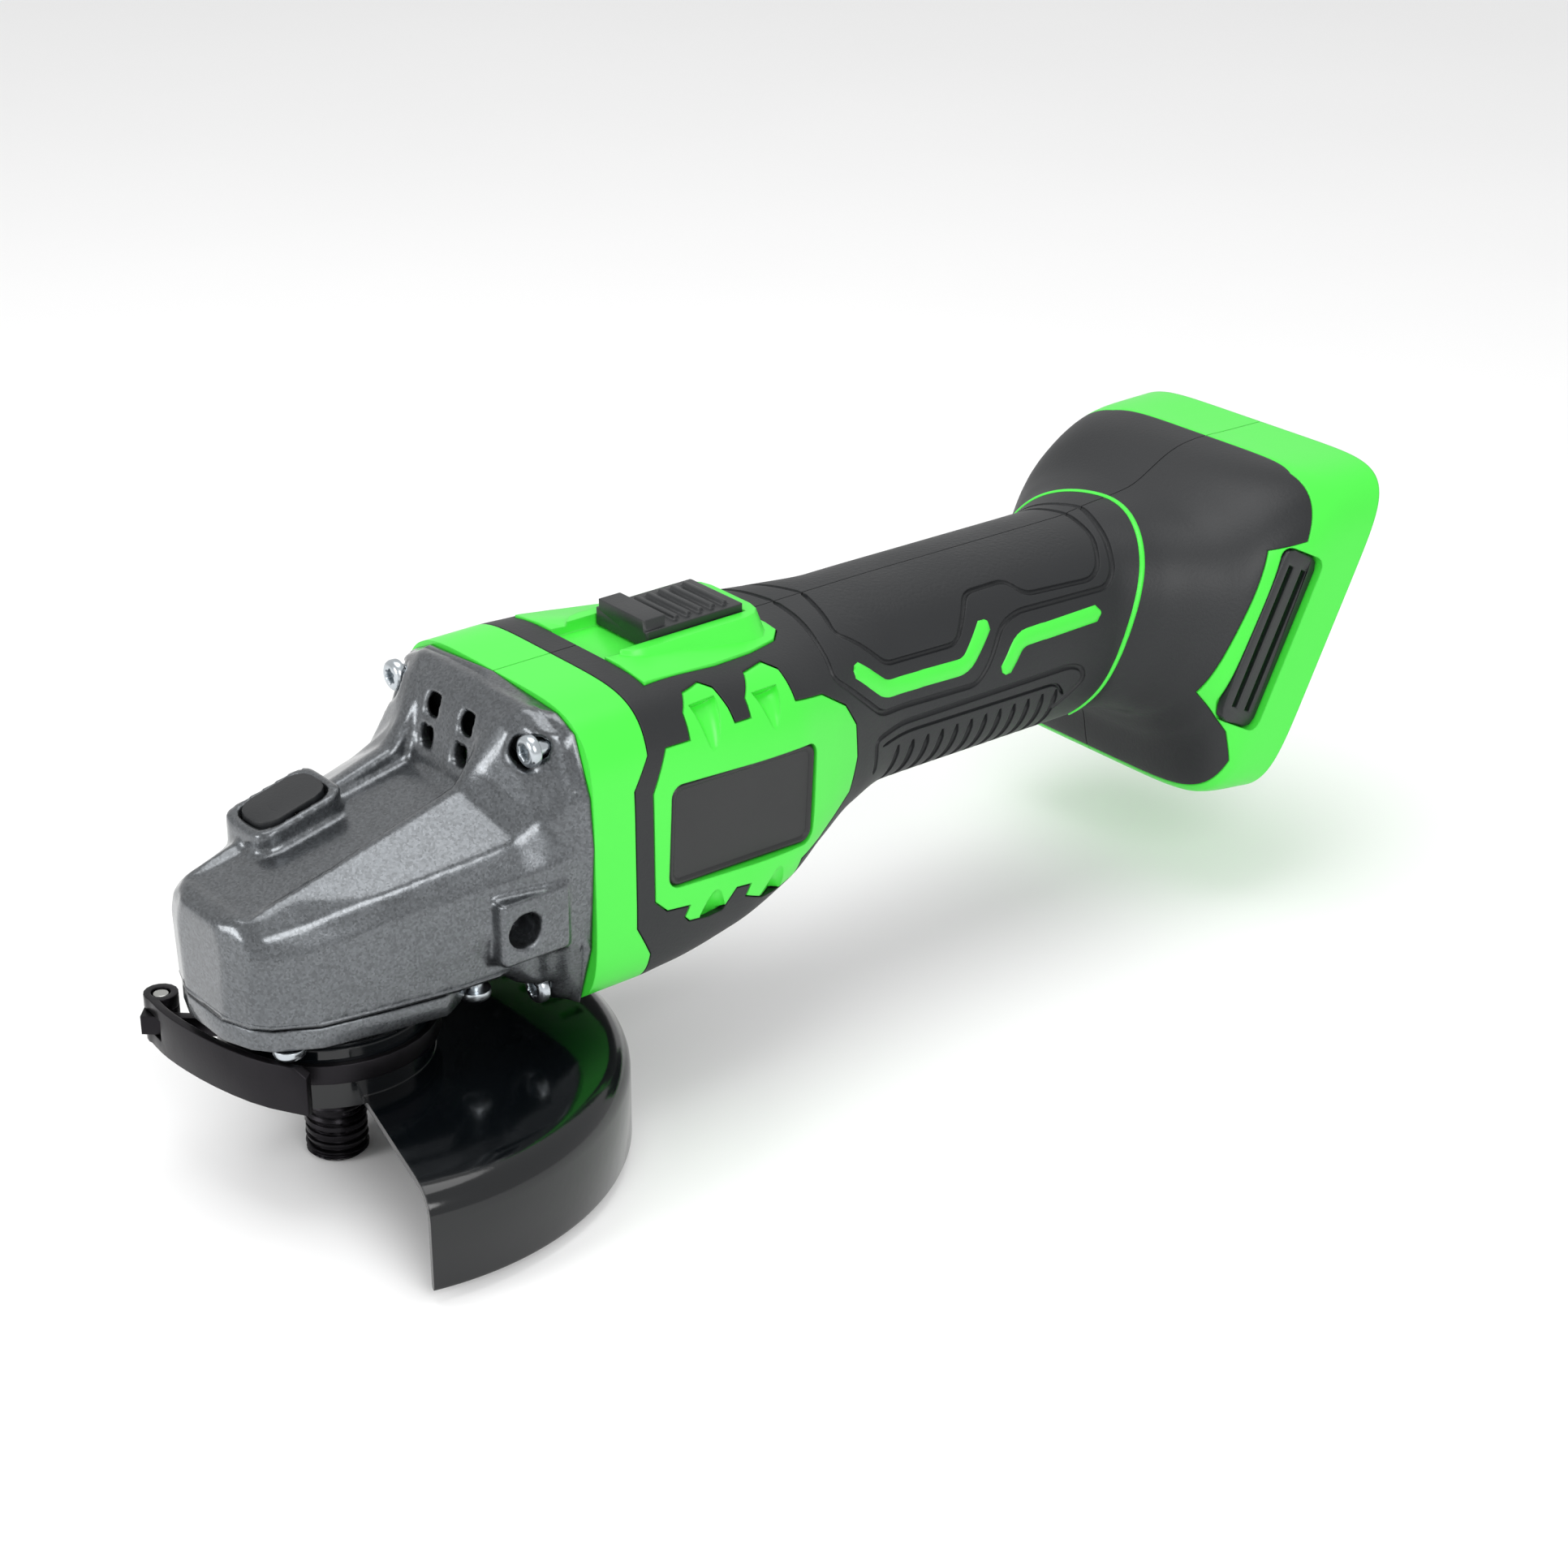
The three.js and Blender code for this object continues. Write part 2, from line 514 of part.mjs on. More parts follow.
// ---------------------------------------------------------------- motor
function addMotor() {
  const shaft = [
    [0, PITCH - TOOTH_FACE - 0.4], [PINION_BORE, PITCH - TOOTH_FACE - 0.4], [PINION_BORE, PITCH + 2],
    [SHAFT_R, PITCH + 2], [SHAFT_R, SHAFT_END_X], [0, SHAFT_END_X],
  ];
  add("rotor_shaft", turned(shaft, 20, onMotor(0)), STEEL, 0.3, 1);
  const [x0, x1] = [STATOR_X, STATOR_X + STATOR_LENGTH];
  add("rotor_core", tube(ROTOR_R, SHAFT_R + GAP, x0, x1, 24, onMotor(0)), 0x5c5f63, 0.5, 0.8);
  add("rotor_magnets", tube(MAGNET_R, ROTOR_R + GAP, x0, x1, 28, onMotor(0)), 0x8c8f94, 0.4, 0.8);
  const bearings = [["front_bearing", FRONT_BEARING_X], ["rear_bearing", SHAFT_END_X - BALL_BEARING_WIDTH - 1]];
  for (const [name, x] of bearings) {
    const ring = tube(BALL_BEARING_R, SHAFT_R + RUN, x, x + BALL_BEARING_WIDTH, 24, onMotor(0));
    add(name, ring, STEEL, 0.25, 1);
  }
  addStator(x0, x1);
  addFan();
}

function addStator(x0, x1) {
  const bore = MAGNET_R + AIR_GAP;
  const yoke = STATOR_R - 5.5;
  const slotAngle = 360 / STATOR_SLOTS;
  const turnedBy = (k) => onMotor(0).multiply(at(0, 0, 0, 0, 0, k * slotAngle));
  const tooth = (k) => box(bore + 0.3, yoke + 1, -3, 3, x0, x1, turnedBy(k));
  const teeth = Array.from({ length: STATOR_SLOTS }, (_, k) => tooth(k));
  const core = join(tube(STATOR_R, yoke, x0, x1, 36, onMotor(0)), ...teeth);
  add("stator_core", core, 0x6b6e70, 0.5, 0.8);
  const head = (a, b) => tube(yoke - GAP, bore + 1, a, b, 24, onMotor(0));
  const bar = (k) => {
    const turn = at(0, 0, 0, 0, 0, (k + 0.5) * slotAngle);
    return box(bore + 1.6, yoke - 1.2, -4.4, 4.4, x0 - 2, x1 + 2, onMotor(0).multiply(turn));
  };
  const bars = Array.from({ length: STATOR_SLOTS }, (_, k) => bar(k));
  const coils = join(head(x0 - 5, x0 - GAP), head(x1 + GAP, x1 + 5), ...bars);
  add("stator_windings", coils, COPPER, 0.45, 0.7);
}

function addFan() {
  const hub = tube(9, SHAFT_R + GAP, 0, FAN_WIDTH, 20, onMotor(FAN_X));
  const disc = tube(FAN_R, 8, FAN_WIDTH - 1.6, FAN_WIDTH, 36, onMotor(FAN_X));
  const blade = (k) => {
    const turn = at(0, 0, 0, 0, 0, (k * 360) / FAN_BLADES);
    return box(8, FAN_R - 0.6, -0.8, 0.8, 1, FAN_WIDTH - 1, onMotor(FAN_X).multiply(turn));
  };
  const blades = Array.from({ length: FAN_BLADES }, (_, k) => blade(k));
  add("cooling_fan", join(hub, disc, ...blades), 0x1d1f22, 0.5);
}

// The air guide between the gear housing and the fan.
function addBaffle() {
  const skin = bodyLoft(SKIN + WALL + 2.2).intersect(box(SEAM_X + 1, SEAM_X + 3, -60, 60, 0, 140));
  const eye = rod(FAN_R - 8, 0, 20, 28, onMotor(SEAM_X - 5));
  const holes = [1, -1].flatMap((side) =>
    [1, -1].map((up) => {
      const place = onMotor(0).setPosition(SEAM_X - 1, side * COLLAR_SCREW_Y, MOTOR_Z + up * COLLAR_SCREW_UP);
      return rod(6.4, 0, 8, 14, place);
    }),
  );
  add("fan_baffle", cut(skin, eye, ...holes), 0x24262a, 0.6);
}

// ---------------------------------------------------------------- body shells
// Stations of the body: [x, z, tilt, half width, half height, squareness] of each ring.
function bodyStations() {
  const mix = (a, b, t) => a + (b - a) * t;
  const waist = (t, squareness) => {
    const x = mix(BEZEL_X0, HANDLE_X0, t);
    const ease = t * t * (3 - 2 * t);
    const late = Math.max(0, (t - 0.33) / 0.67);
    const narrowing = late * late * (3 - 2 * late);
    const bottom = mix(MOTOR_Z - BODY_H, HANDLE_Z - HANDLE_H, ease);
    const top = mix(MOTOR_Z + BODY_H, HANDLE_Z + HANDLE_H, Math.min(1, 2 * t));
    return [x, (top + bottom) / 2, 0, mix(BODY_W, HANDLE_W, narrowing), (top - bottom) / 2, squareness];
  };
  const foot = (back, drop, tilt, w, h, squareness) => {
    const [c, s] = [Math.cos(FOOT_TILT * DEG), Math.sin(FOOT_TILT * DEG)];
    return [FOOT_X - back * c - drop * s, FOOT_Z + back * s - drop * c, tilt, w, h, squareness];
  };
  return [
    [SEAM_X + GAP, MOTOR_Z, 0, BODY_W, BODY_H, 5],
    [60, MOTOR_Z, 0, BODY_W, BODY_H, 5],
    waist(0, 4.6),
    waist(0.25, 4.2),
    waist(0.45, 3.8),
    waist(0.62, 3.2),
    waist(0.8, 2.8),
    [HANDLE_X0, HANDLE_Z, 0, HANDLE_W, HANDLE_H, 2.4],
    [(HANDLE_X0 + HANDLE_X1) / 2, HANDLE_Z - 0.4, 0, HANDLE_W, HANDLE_H, 2.4],
    [HANDLE_X1, HANDLE_Z - 0.8, 4, HANDLE_W, HANDLE_H, 2.4],
    foot(42, 14, 12, HANDLE_W + 4, HANDLE_H + 0.8, 2.6),
    foot(34, 10, 17, HANDLE_W + 12, HANDLE_H + 2.5, 3),
    foot(27, 6, 22, FOOT_W - 3, HANDLE_H + 9, 3.6),
    foot(13, 5.4, FOOT_TILT, FOOT_W - 0.5, FOOT_H - 0.9, 6.5),
    [FOOT_X, FOOT_Z, FOOT_TILT, FOOT_W, FOOT_H, 7],
  ];
}

// One rounded ring of the body, from one station.
function bodyRing([x, z, tilt, w, h, squareness], inset) {
  const count = 24;
  const power = (v) => Math.sign(v) * Math.abs(v) ** (2 / squareness);
  return Array.from({ length: count }, (_, k) => {
    const angle = ((k + 0.5) * 2 * Math.PI) / count;
    const across = (w - inset) * power(Math.cos(angle));
    const up = (h - inset) * power(Math.sin(angle));
    return [x + up * Math.sin(tilt * DEG), across, z + up * Math.cos(tilt * DEG)];
  });
}

function bodyLoft(inset = 0) {
  const stations = bodyStations();
  if (inset > 0) stations[0][0] -= 2;
  return loft(stations.map((station) => bodyRing(station, inset)));
}

const footFrame = () => at(FOOT_X, 0, FOOT_Z, 0, FOOT_TILT, 0);

// A side view outline [x, z] as a solid on both flanks, from y = 20 outwards.
function flank(outline) {
  const flat = outline.map(([x, z]) => [x, -z]);
  return [1, -1].map((side) => prism(flat, side > 0 ? 20 : -80, side > 0 ? 80 : -20, at(0, 0, 0, -90, 0, 0)));
}

// Moves every point of an outline outwards by a distance.
function grown(outline, distance) {
  const n = outline.length;
  const area = outline.reduce((sum, [x, y], k) => {
    const [u, v] = outline[(k + 1) % n];
    return sum + x * v - u * y;
  }, 0);
  const turn = Math.sign(area) * distance;
  return outline.map(([x, y], k) => {
    const [ax, ay] = outline[(k + n - 1) % n];
    const [bx, by] = outline[(k + 1) % n];
    const [p, q] = [Math.atan2(y - ay, x - ax), Math.atan2(by - y, bx - x)];
    const bend = (q - p) / 2;
    const reach = turn / Math.max(0.35, Math.abs(Math.cos(bend)));
    const way = Math.atan2(Math.sin(p) + Math.sin(q), Math.cos(p) + Math.cos(q)) - Math.PI / 2;
    return [x + reach * Math.cos(way), y + reach * Math.sin(way)];
  });
}

// The hard side panel with its two tabs above and two below, as a side view outline.
function panelOutline() {
  const z = PLATE_Z;
  const above = [[11, z + 30.3], [28, z + 28.4]].flatMap(([dx, top]) => [
    [dx, z + 22], [dx, top - 2.8], [dx + 3, top], [dx + 8, top], [dx + 11, top - 3.3], [dx + 12.5, z + 22]]);
  const below = [27.3, 9.3].flatMap((dx) => [
    [dx + 14, z - 17], [dx + 10, z - 21.4], [dx + 1, z - 21], [dx - 1, z - 19.4], [dx, z - 17]]);
  const nose = [[51.5, z + 19.7], [59, z + 14.5], [63.3, z + 8.5], [64, z], [61.8, z - 8], [51, z - 15]];
  const front = [[0, z - 12.8], [0, z + 13], [4.2, z + 22.2]];
  return [...front, ...above, ...nose, ...below, [3, z - 16]].map(([dx, height]) => [PANEL_X0 + dx, height]);
}

// The part of the foot's flank that stays hard round the grille, in the foot's own frame.
function grilleFrame(by) {
  const [w, h] = GRILLE;
  const [x, z] = GRILLE_CENTRE;
  const outline = roundedOutline(w / 2 + by, h / 2 + by, 3, 2);
  return [1, -1].map((side) => {
    const place = footFrame().multiply(at(x, side * 60, z, 90, 0, 0));
    return prism(outline, -30, 30, place);
  });
}

// Where rubber covers the shell: behind the collar, ahead of the foot's rim, and off the windows.
function skinZone(by) {
  const ahead = box(-400, -14 - by, -90, 90, -300, 300, footFrame());
  const step = [[SKIN_FLANK_X + by, 50], [SKIN_FLANK_X + by, 83], [SKIN_X0 + 2, 90.5], [SKIN_X0 + 2, 42]];
  const zone = join(box(SKIN_X0 + by, 300, -90, 90, 0, 140).intersect(ahead), ...flank(step));
  return cut(zone, ...flank(grown(panelOutline(), by)), ...grilleFrame(4 + by), bezelOutline(by));
}

// A half of something that is split along the middle plane.
function halfOf(whole, side) {
  const room = side > 0 ? [SPLIT, 90] : [-90, -SPLIT];
  return whole.intersect(box(0, 330, ...room, -10, 150));
}

function stemSlot(by, z0, z1) {
  const x0 = SLIDER_X - STEM[0] / 2 - SLIDER_TRAVEL - by;
  return box(x0, SLIDER_X + STEM[0] / 2 + by, -STEM[1] / 2 - by, STEM[1] / 2 + by, z0, z1);
}

function shellBlank() {
  const inset = SKIN + GAP;
  const room = cut(bodyLoft(inset + WALL).intersect(box(0, FOOT_X - 39, -90, 90, 0, 140)), ...statorRibs());
  const rubber = cut(skinZone(0), bodyLoft(inset));
  const frame = footFrame();
  const [w, h] = RECESS;
  const mouth = box(-RECESS_DEPTH, 5, -w, w, -h, h, frame);
  const slideIn = box(-RECESS_DEPTH * 0.6, 5, -w + 6, w - 6, -FOOT_H - 5, -h + 1, frame);
  const wires = box(-60, -RECESS_DEPTH + 1, -12, 12, 2, 20, frame);
  const plates = [1, -1].map((side) => platePocket(side, GAP));
  const bosses = screwBosses();
  let whole = cut(bodyLoft(), room, rubber);
  whole = join(whole, ...bosses);
  const grilles = [1, -1].map((side) => grilleBlock(side, GAP));
  const seat = cut(bezelOutline(GAP), bodyLoft(BEZEL_SKIRT + GAP));
  whole = cut(whole, mouth, slideIn, wires, bezelBlock(GAP), seat, ...plates, ...grilles, ...screwHoles());
  return cut(whole, stemSlot(RUN + 0.6, 80, 110), ...coolingSlots());
}

function statorRibs() {
  return [STATOR_X + 3, STATOR_X + STATOR_LENGTH - 7].map((x) =>
    cut(box(x, x + 3, -60, 60, 0, 130), rod(STATOR_R + GAP, x - 5, x + 8, 36, onMotor(0))),
  );
}

// Air leaves through slots under the collar, beside the fan.
function coolingSlots() {
  return [-12, -4, 4, 12].map((y) => box(FAN_X + 1, FAN_X + 7, y - 1.5, y + 1.5, 20, MOTOR_Z - BODY_H + 8));
}

function screwBosses() {
  const collar = [1, -1].flatMap((side) =>
    [1, -1].map((up) => {
      const place = onMotor(0).setPosition(0, side * COLLAR_SCREW_Y, MOTOR_Z + up * COLLAR_SCREW_UP);
      return rod(4.6, SEAM_X + GAP, SEAM_X + 15, 14, place).intersect(bodyLoft(0.5));
    }),
  );
  const clamps = SHELL_SCREWS.flatMap(([x, z]) => {
    const place = at(x, 0, z, 90, 0, 0);
    const post = rod(SHELL_BOSS_R, -40, 40, 12, place);
    const well = rod(SCREW_WELL_R, -60, -shellScrewSeat(x) + 1.5, 12, place);
    return [post, well].map((part) => part.intersect(bodyLoft(SKIN + GAP + 0.2)));
  });
  return [...collar, ...clamps];
}

function screwHoles() {
  const collar = [1, -1].flatMap((side) =>
    [1, -1].map((up) => {
      const place = onMotor(0).setPosition(0, side * COLLAR_SCREW_Y, MOTOR_Z + up * COLLAR_SCREW_UP);
      return rod(2.3, SEAM_X - 1, SEAM_X + 14, 12, place);
    }),
  );
  const clamps = SHELL_SCREWS.flatMap(([x, z]) => {
    const head = shellScrewSeat(x);
    return [
      rod(2.2, -head, 8, 10, at(x, 0, z, 90, 0, 0)),
      rod(4.2, -60, -head, 12, at(x, 0, z, 90, 0, 0)),
    ];
  });
  return [...collar, ...clamps];
}

// How far out from the middle a shell screw's head sits at x.
function shellScrewSeat(x) {
  return x < BEZEL_X0 ? 21 : 14;
}

function platePocket(side, by) {
  const [w, h] = PLATE_SIZE;
  const outline = roundedOutline(w / 2 + by, h / 2 + by, 3, 2);
  const turn = at(PLATE_X, side * (BODY_W - PLATE_DEPTH - 1.4), PLATE_Z, 0, 0, -side * PLATE_TURN);
  const place = turn.multiply(at(0, 0, 0, -90 * side, 0, 0)).multiply(at(0, 0, 0, 0, 0, side * PLATE_DROP));
  return prism(outline, -by, by > 0 ? 20 : PLATE_DEPTH, place);
}

function grilleBlock(side, by) {
  const [w, h] = GRILLE;
  const [x, z] = GRILLE_CENTRE;
  const outline = roundedOutline(w / 2 + by, h / 2 + by, 3, 2);
  const place = footFrame().multiply(at(x, side * (FOOT_W - 4.6), z, -90 * side, 0, 0));
  return prism(outline, -by, by > 0 ? 20 : GRILLE_DEPTH, place);
}

function addShells() {
  const blank = shellBlank();
  const skin = cut(
    bodyLoft().intersect(skinZone(GAP)),
    bodyLoft(SKIN),
    stemSlot(RUN + 0.6, 80, 110),
    gripPadBlock(GAP),
    ...SHELL_SCREWS.map(([x, z]) => rod(4.6, -60, 0, 12, at(x, 0, z, 90, 0, 0))),
  );
  for (const [name, side] of [["right", 1], ["left", -1]]) {
    add(`shell_${name}`, halfOf(blank, side), GREEN, 0.45);
    add(`grip_rubber_${name}`, halfOf(skin, side), BLACK, 0.75);
    add(`name_plate_${name}`, platePocket(side, 0), 0x38393b, 0.35);
    add(`foot_grille_${name}`, footGrille(side), BLACK, 0.6);
  }
  add("grip_pad", gripPad(), 0x33363b, 0.8);
  SHELL_SCREWS.forEach(([x, z], k) => {
    const place = at(x, shellScrewSeat(x), z, 90, 0, 0);
    const seated = place.multiply(at(0, 0, -GAP));
    add(`shell_screw_${k + 1}`, screw(shellScrewSeat(x) + 6, 1.7, seated), ZINC, 0.3, 1);
  });
}

function footGrille(side) {
  const [x, z] = GRILLE_CENTRE;
  const place = footFrame().multiply(at(x, 0, z));
  const slot = (dx) => box(dx - 1, dx + 1, -90, 90, -GRILLE[1] / 2 + 4, GRILLE[1] / 2 - 4, place);
  return cut(grilleBlock(side, 0), slot(-2.6), slot(2.6));
}

// The ribbed pad under the grip.
function gripPadBlock(by) {
  const [x0, x1] = [HANDLE_X0 - 4 - by, HANDLE_X1 - 8 + by];
  return box(x0, x1, -17 - by, 17 + by, HANDLE_Z - HANDLE_H - 5, HANDLE_Z - 12 + by);
}

function gripPad() {
  const body = bodyLoft().intersect(gripPadBlock(0));
  const count = 9;
  const pitch = (HANDLE_X1 - HANDLE_X0 - 4) / count;
  const grooves = Array.from({ length: count }, (_, k) => {
    const x = HANDLE_X0 - 1 + (k + 0.5) * pitch;
    return cut(box(x, x + 1.6, -40, 40, 30, 80), bodyLoft(0.8));
  });
  return cut(body, bodyLoft(SKIN), ...grooves);
}

// ---------------------------------------------------------------- switch
// The raised bezel round the switch, tapering upwards.
function bezelBlock(by) {
  const [cx, half] = [(BEZEL_X0 + BEZEL_X1) / 2, (BEZEL_X1 - BEZEL_X0) / 2];
  const ring = (w, d, z) => roundedOutline(w + by, d + by, 6, 3).map(([x, y]) => [cx + x, y, z]);
  const lower = ring(half - 1.5, BEZEL_WIDTH / 2, BEZEL_Z - by);
  const upper = ring(half - 2.5, BEZEL_WIDTH / 2 - 3, BEZEL_TOP_Z + by);
  return loft([lower, upper]);
}

// The skirt round the bezel seen from above, wider in front.
function bezelOutline(by) {
  const half = [[-0.8, 24], [20, 21.8], [32, 19.3], [41, 16.5], [44.5, 13]];
  const outline = [...half, ...half.map(([x, y]) => [x, -y]).reverse()].map(([x, y]) => [BEZEL_X0 + x, y]);
  return prism(grown(outline, by), BEZEL_Z - 10, BEZEL_TOP_Z + 8);
}

function addSwitch() {
  const [halfL, halfW] = [SLIDER_LENGTH / 2, SLIDER_WIDTH / 2];
  const floor = SLIDER_Z - RUN;
  const channel = box(BEZEL_X0 - 5, SLIDER_X + halfL + RUN, -halfW - RUN, halfW + RUN, floor, BEZEL_TOP_Z + 5);
  const skirt = cut(bezelOutline(0).intersect(bodyLoft(-0.5)), bodyLoft(BEZEL_SKIRT));
  const bezel = cut(join(bezelBlock(0), skirt), channel, stemSlot(RUN, 90, 110));
  add("switch_bezel", bezel, GREEN, 0.4);
  const plate = box(SLIDER_X - halfL, SLIDER_X + halfL, -halfW, halfW, SLIDER_Z, SLIDER_Z + SLIDER_HEIGHT);
  const bump = box(SLIDER_X - halfL, SLIDER_X - halfL + 6, -halfW + 1, halfW - 1, SLIDER_Z + 2, SLIDER_Z + 6.6);
  const ribs = Array.from({ length: 5 }, (_, k) => {
    const x = SLIDER_X - halfL + 9 + k * 3.4;
    return box(x, x + 1.5, -halfW + 2, halfW - 2, SLIDER_Z + 3, SLIDER_Z + SLIDER_HEIGHT + 0.9);
  });
  const [stemX, stemY] = [STEM[0] / 2, STEM[1] / 2];
  const stemZ = LINK_Z + LINK_HEIGHT + GAP;
  const stem = box(SLIDER_X - stemX, SLIDER_X + stemX, -stemY, stemY, stemZ, SLIDER_Z + 1);
  add("switch_slider", join(plate, bump, stem, ...ribs), BLACK, 0.6);
  const hookX = MICRO_X + MICRO_LENGTH + 2 + SLIDER_TRAVEL + GAP;
  const bar = box(SLIDER_X - 2, hookX + 2, -2.5, 2.5, LINK_Z, LINK_Z + LINK_HEIGHT);
  const hook = box(hookX, hookX + 2, -2.5, 2.5, LINK_Z - 7, LINK_Z + 1);
  add("switch_link", join(bar, hook), 0x45484c, 0.6);
  const top = LINK_Z - GAP - 1;
  const micro = box(MICRO_X, MICRO_X + MICRO_LENGTH, -5, 5, top - 9, top);
  const plunger = box(MICRO_X + MICRO_LENGTH - 1, MICRO_X + MICRO_LENGTH + 2, -1.5, 1.5, top - 5, top - 2);
  add("micro_switch", join(micro, plunger), 0x1c1d20, 0.5);
}

// ---------------------------------------------------------------- electronics in the handle
function addElectronics() {
  const z = HANDLE_Z - 8;
  const [x0, x1] = [HANDLE_X0 - 4, HANDLE_X1 - 12];
  const tray = cut(box(x0, x1, -15, 15, z - 5, z + 3), box(x0 + 1.5, x1 - 1.5, -13.5, 13.5, z - 3.5, z + 9));
  add("controller_tray", tray, 0x9a9da0, 0.5, 0.7);
  const board = box(x0 + 1.8, x1 - 1.8, -13.2, 13.2, z - 1.5, z + 0.1);
  add("controller_board", board, 0x1f5a34, 0.6);
  const can = rod(4, 0, 18, 16, at(x1 - 24, 0, z + 4.6, 0, 90, 0));
  add("capacitor", can, 0x26324f, 0.4, 0.4);
}

function addBatteryContacts() {
  const frame = footFrame();
  const [w, h] = RECESS;
  const floor = -RECESS_DEPTH + GAP;
  const block = box(floor, floor + 7, -15, 15, 6, 26, frame);
  const slots = [-8, 8].map((y) => box(floor - 1, floor + 14, y - 0.9, y + 0.9, 4, 22, frame));
  add("terminal_block", cut(block, ...slots), 0x1c1d20, 0.5);
  [["terminal_plus", -8], ["terminal_minus", 8]].forEach(([name, y]) => {
    add(name, box(floor, floor + 11, y - 0.5, y + 0.5, 7.5, 21, frame), 0xc9a25a, 0.35, 1);
  });
  [["battery_rail_right", 1], ["battery_rail_left", -1]].forEach(([name, side]) => {
    const [near, far] = [w - GAP, w - 5];
    const wall = box(floor, -1, side * near, side * (near - 1.6), -h + GAP, h - GAP, frame);
    const lip = box(-4, -1, side * near, side * far, -h + GAP, h - GAP, frame);
    add(name, join(wall, lip), 0x8d9094, 0.4, 0.9);
  });
}

// ---------------------------------------------------------------- spindle lock
function addLock() {
  const slope = (PLATFORM_Z1 - PLATFORM_Z0) / (PLATFORM_X1 - PLATFORM_X0);
  const top = at(0, 0, PLATFORM_Z0 - PLATFORM_X0 * slope + 5.9, 0, -14, 0);
  const seat = LOCK_TOP_Z - LOCK_TRAVEL - 5.4;
  const under = seat + LOCK_TRAVEL + 0.6;
  const hole = rod(LOCK_SPRING_R + 1.2, under - 1, under + 3.4, 16, at(0, LOCK_Y, 0));
  const knob = cut(lockBoss(-2.6, under, 92), box(-30, 30, -30, 40, 0, 30, top), hole);
  add("lock_button", knob, 0x2a2b2f, 0.7);
  const rest = MOTOR_Z - PINION_PITCH + 1.7;
  add("lock_pin", rod(LOCK_PIN_R, rest, under + 3.1, 14, at(0, LOCK_Y, 0)), STEEL, 0.3, 1);
  add("lock_spring", spring(LOCK_SPRING_R, 0.35, seat + GAP + 0.35, under + 2.7, 4), STEEL, 0.35, 1);
}

// A coil spring about the lock pin: wire radius, lowest and highest wire centre, turns.
function spring(radius, wire, z0, z1, turns) {
  class Helix extends THREE.Curve {
    getPoint(t) {
      const angle = t * turns * 2 * Math.PI;
      const z = z0 + (z1 - z0) * t;
      return new THREE.Vector3(radius * Math.cos(angle), LOCK_Y + radius * Math.sin(angle), z);
    }
  }
  const section = new THREE.Shape().absarc(0, 0, wire, 0, 2 * Math.PI);
  const coil = new THREE.ExtrudeGeometry(section, {
    steps: turns * 11,
    curveSegments: 3,
    extrudePath: new Helix(),
  });
  return solid(coil);
}

// ---------------------------------------------------------------- guard and its quick clamp
function sector(start, sweep, radius) {
  const steps = 12;
  const arc = Array.from({ length: steps + 1 }, (_, k) => {
    const angle = (start + (sweep * k) / steps) * DEG;
    return [radius * Math.cos(angle), radius * Math.sin(angle)];
  });
  return prism([[0, 0], ...arc], -5, 60);
}

function addGuard() {
  const inner = NECK_R + RUN;
  const outer = inner + COLLAR_WALL;
  const [r, t, z] = [GUARD_R, GUARD_WALL, GUARD_TOP_Z];
  const hood = [
    [inner + 0.2, z - t], [r - 5.4, z - t - 0.4], [r - 2.6, z - t - 1.4], [r - t, z - t - 3.6],
    [r - t, GUARD_BOTTOM_Z],
    [r, GUARD_BOTTOM_Z], [r, z - 4.4], [r - 1.4, z - 1.6], [r - 5, z - 0.3], [outer - 0.2, z + 0.2],
    [inner + 0.2, z + 0.2], [inner + 0.2, z - t],
  ];
  const half = turned(hood, 72).intersect(sector(GUARD_START, GUARD_SWEEP, r * 2));
  const collar = tube(outer, inner, z - t, COLLAR_TOP_Z, 40);
  const [px, py] = LEVER_PIVOT;
  const towards = Math.atan2(py, px) / DEG;
  const slit = box(inner - 3, outer + 3, -1.5, 1.5, 0, 60, at(0, 0, 0, 0, 0, towards));
  add("guard", cut(join(half, collar), slit), GLOSS_BLACK, 0.15);
  addClamp(outer, towards);
}

function addClamp(collarR, towards) {
  const [px, py] = LEVER_PIVOT;
  const reach = Math.hypot(px, py);
  const [low, high] = [LEVER_Z + KNUCKLE, LEVER_Z + LEVER_HEIGHT - KNUCKLE];
  const band = tube(collarR + GAP + 1.5, collarR + GAP, low + GAP, high - GAP, 36);
  const mouth = box(15, 30, -3, 3, 0, 60, at(0, 0, 0, 0, 0, towards));
  const armEnd = reach - LEVER_PIN_R - 0.6;
  const arm = box(collarR + 1, armEnd, 3, 5.2, low + GAP, high - GAP, at(0, 0, 0, 0, 0, towards));
  const link = box(reach - 3, reach + 3.6, 1, 5.2, low + GAP, high - GAP, at(0, 0, 0, 0, 0, towards));
  const eye = rod(LEVER_PIN_R + 2, low + GAP, high - GAP, 16, at(px, py, 0));
  const hole = rod(LEVER_PIN_R + GAP, 0, 60, 16, at(px, py, 0));
  add("guard_clamp_band", cut(join(cut(band, mouth), arm, link, eye), hole), BLACK_STEEL, 0.4, 0.9);
  const pin = rod(LEVER_PIN_R, LEVER_Z - 0.6, LEVER_Z + LEVER_HEIGHT - 0.2, 16, at(px, py, 0));
  add("lever_pin", pin, STEEL, 0.3, 1);
  add("guard_lever", guardLever(low, high), 0x3a3434, 0.35, 0.9);
}

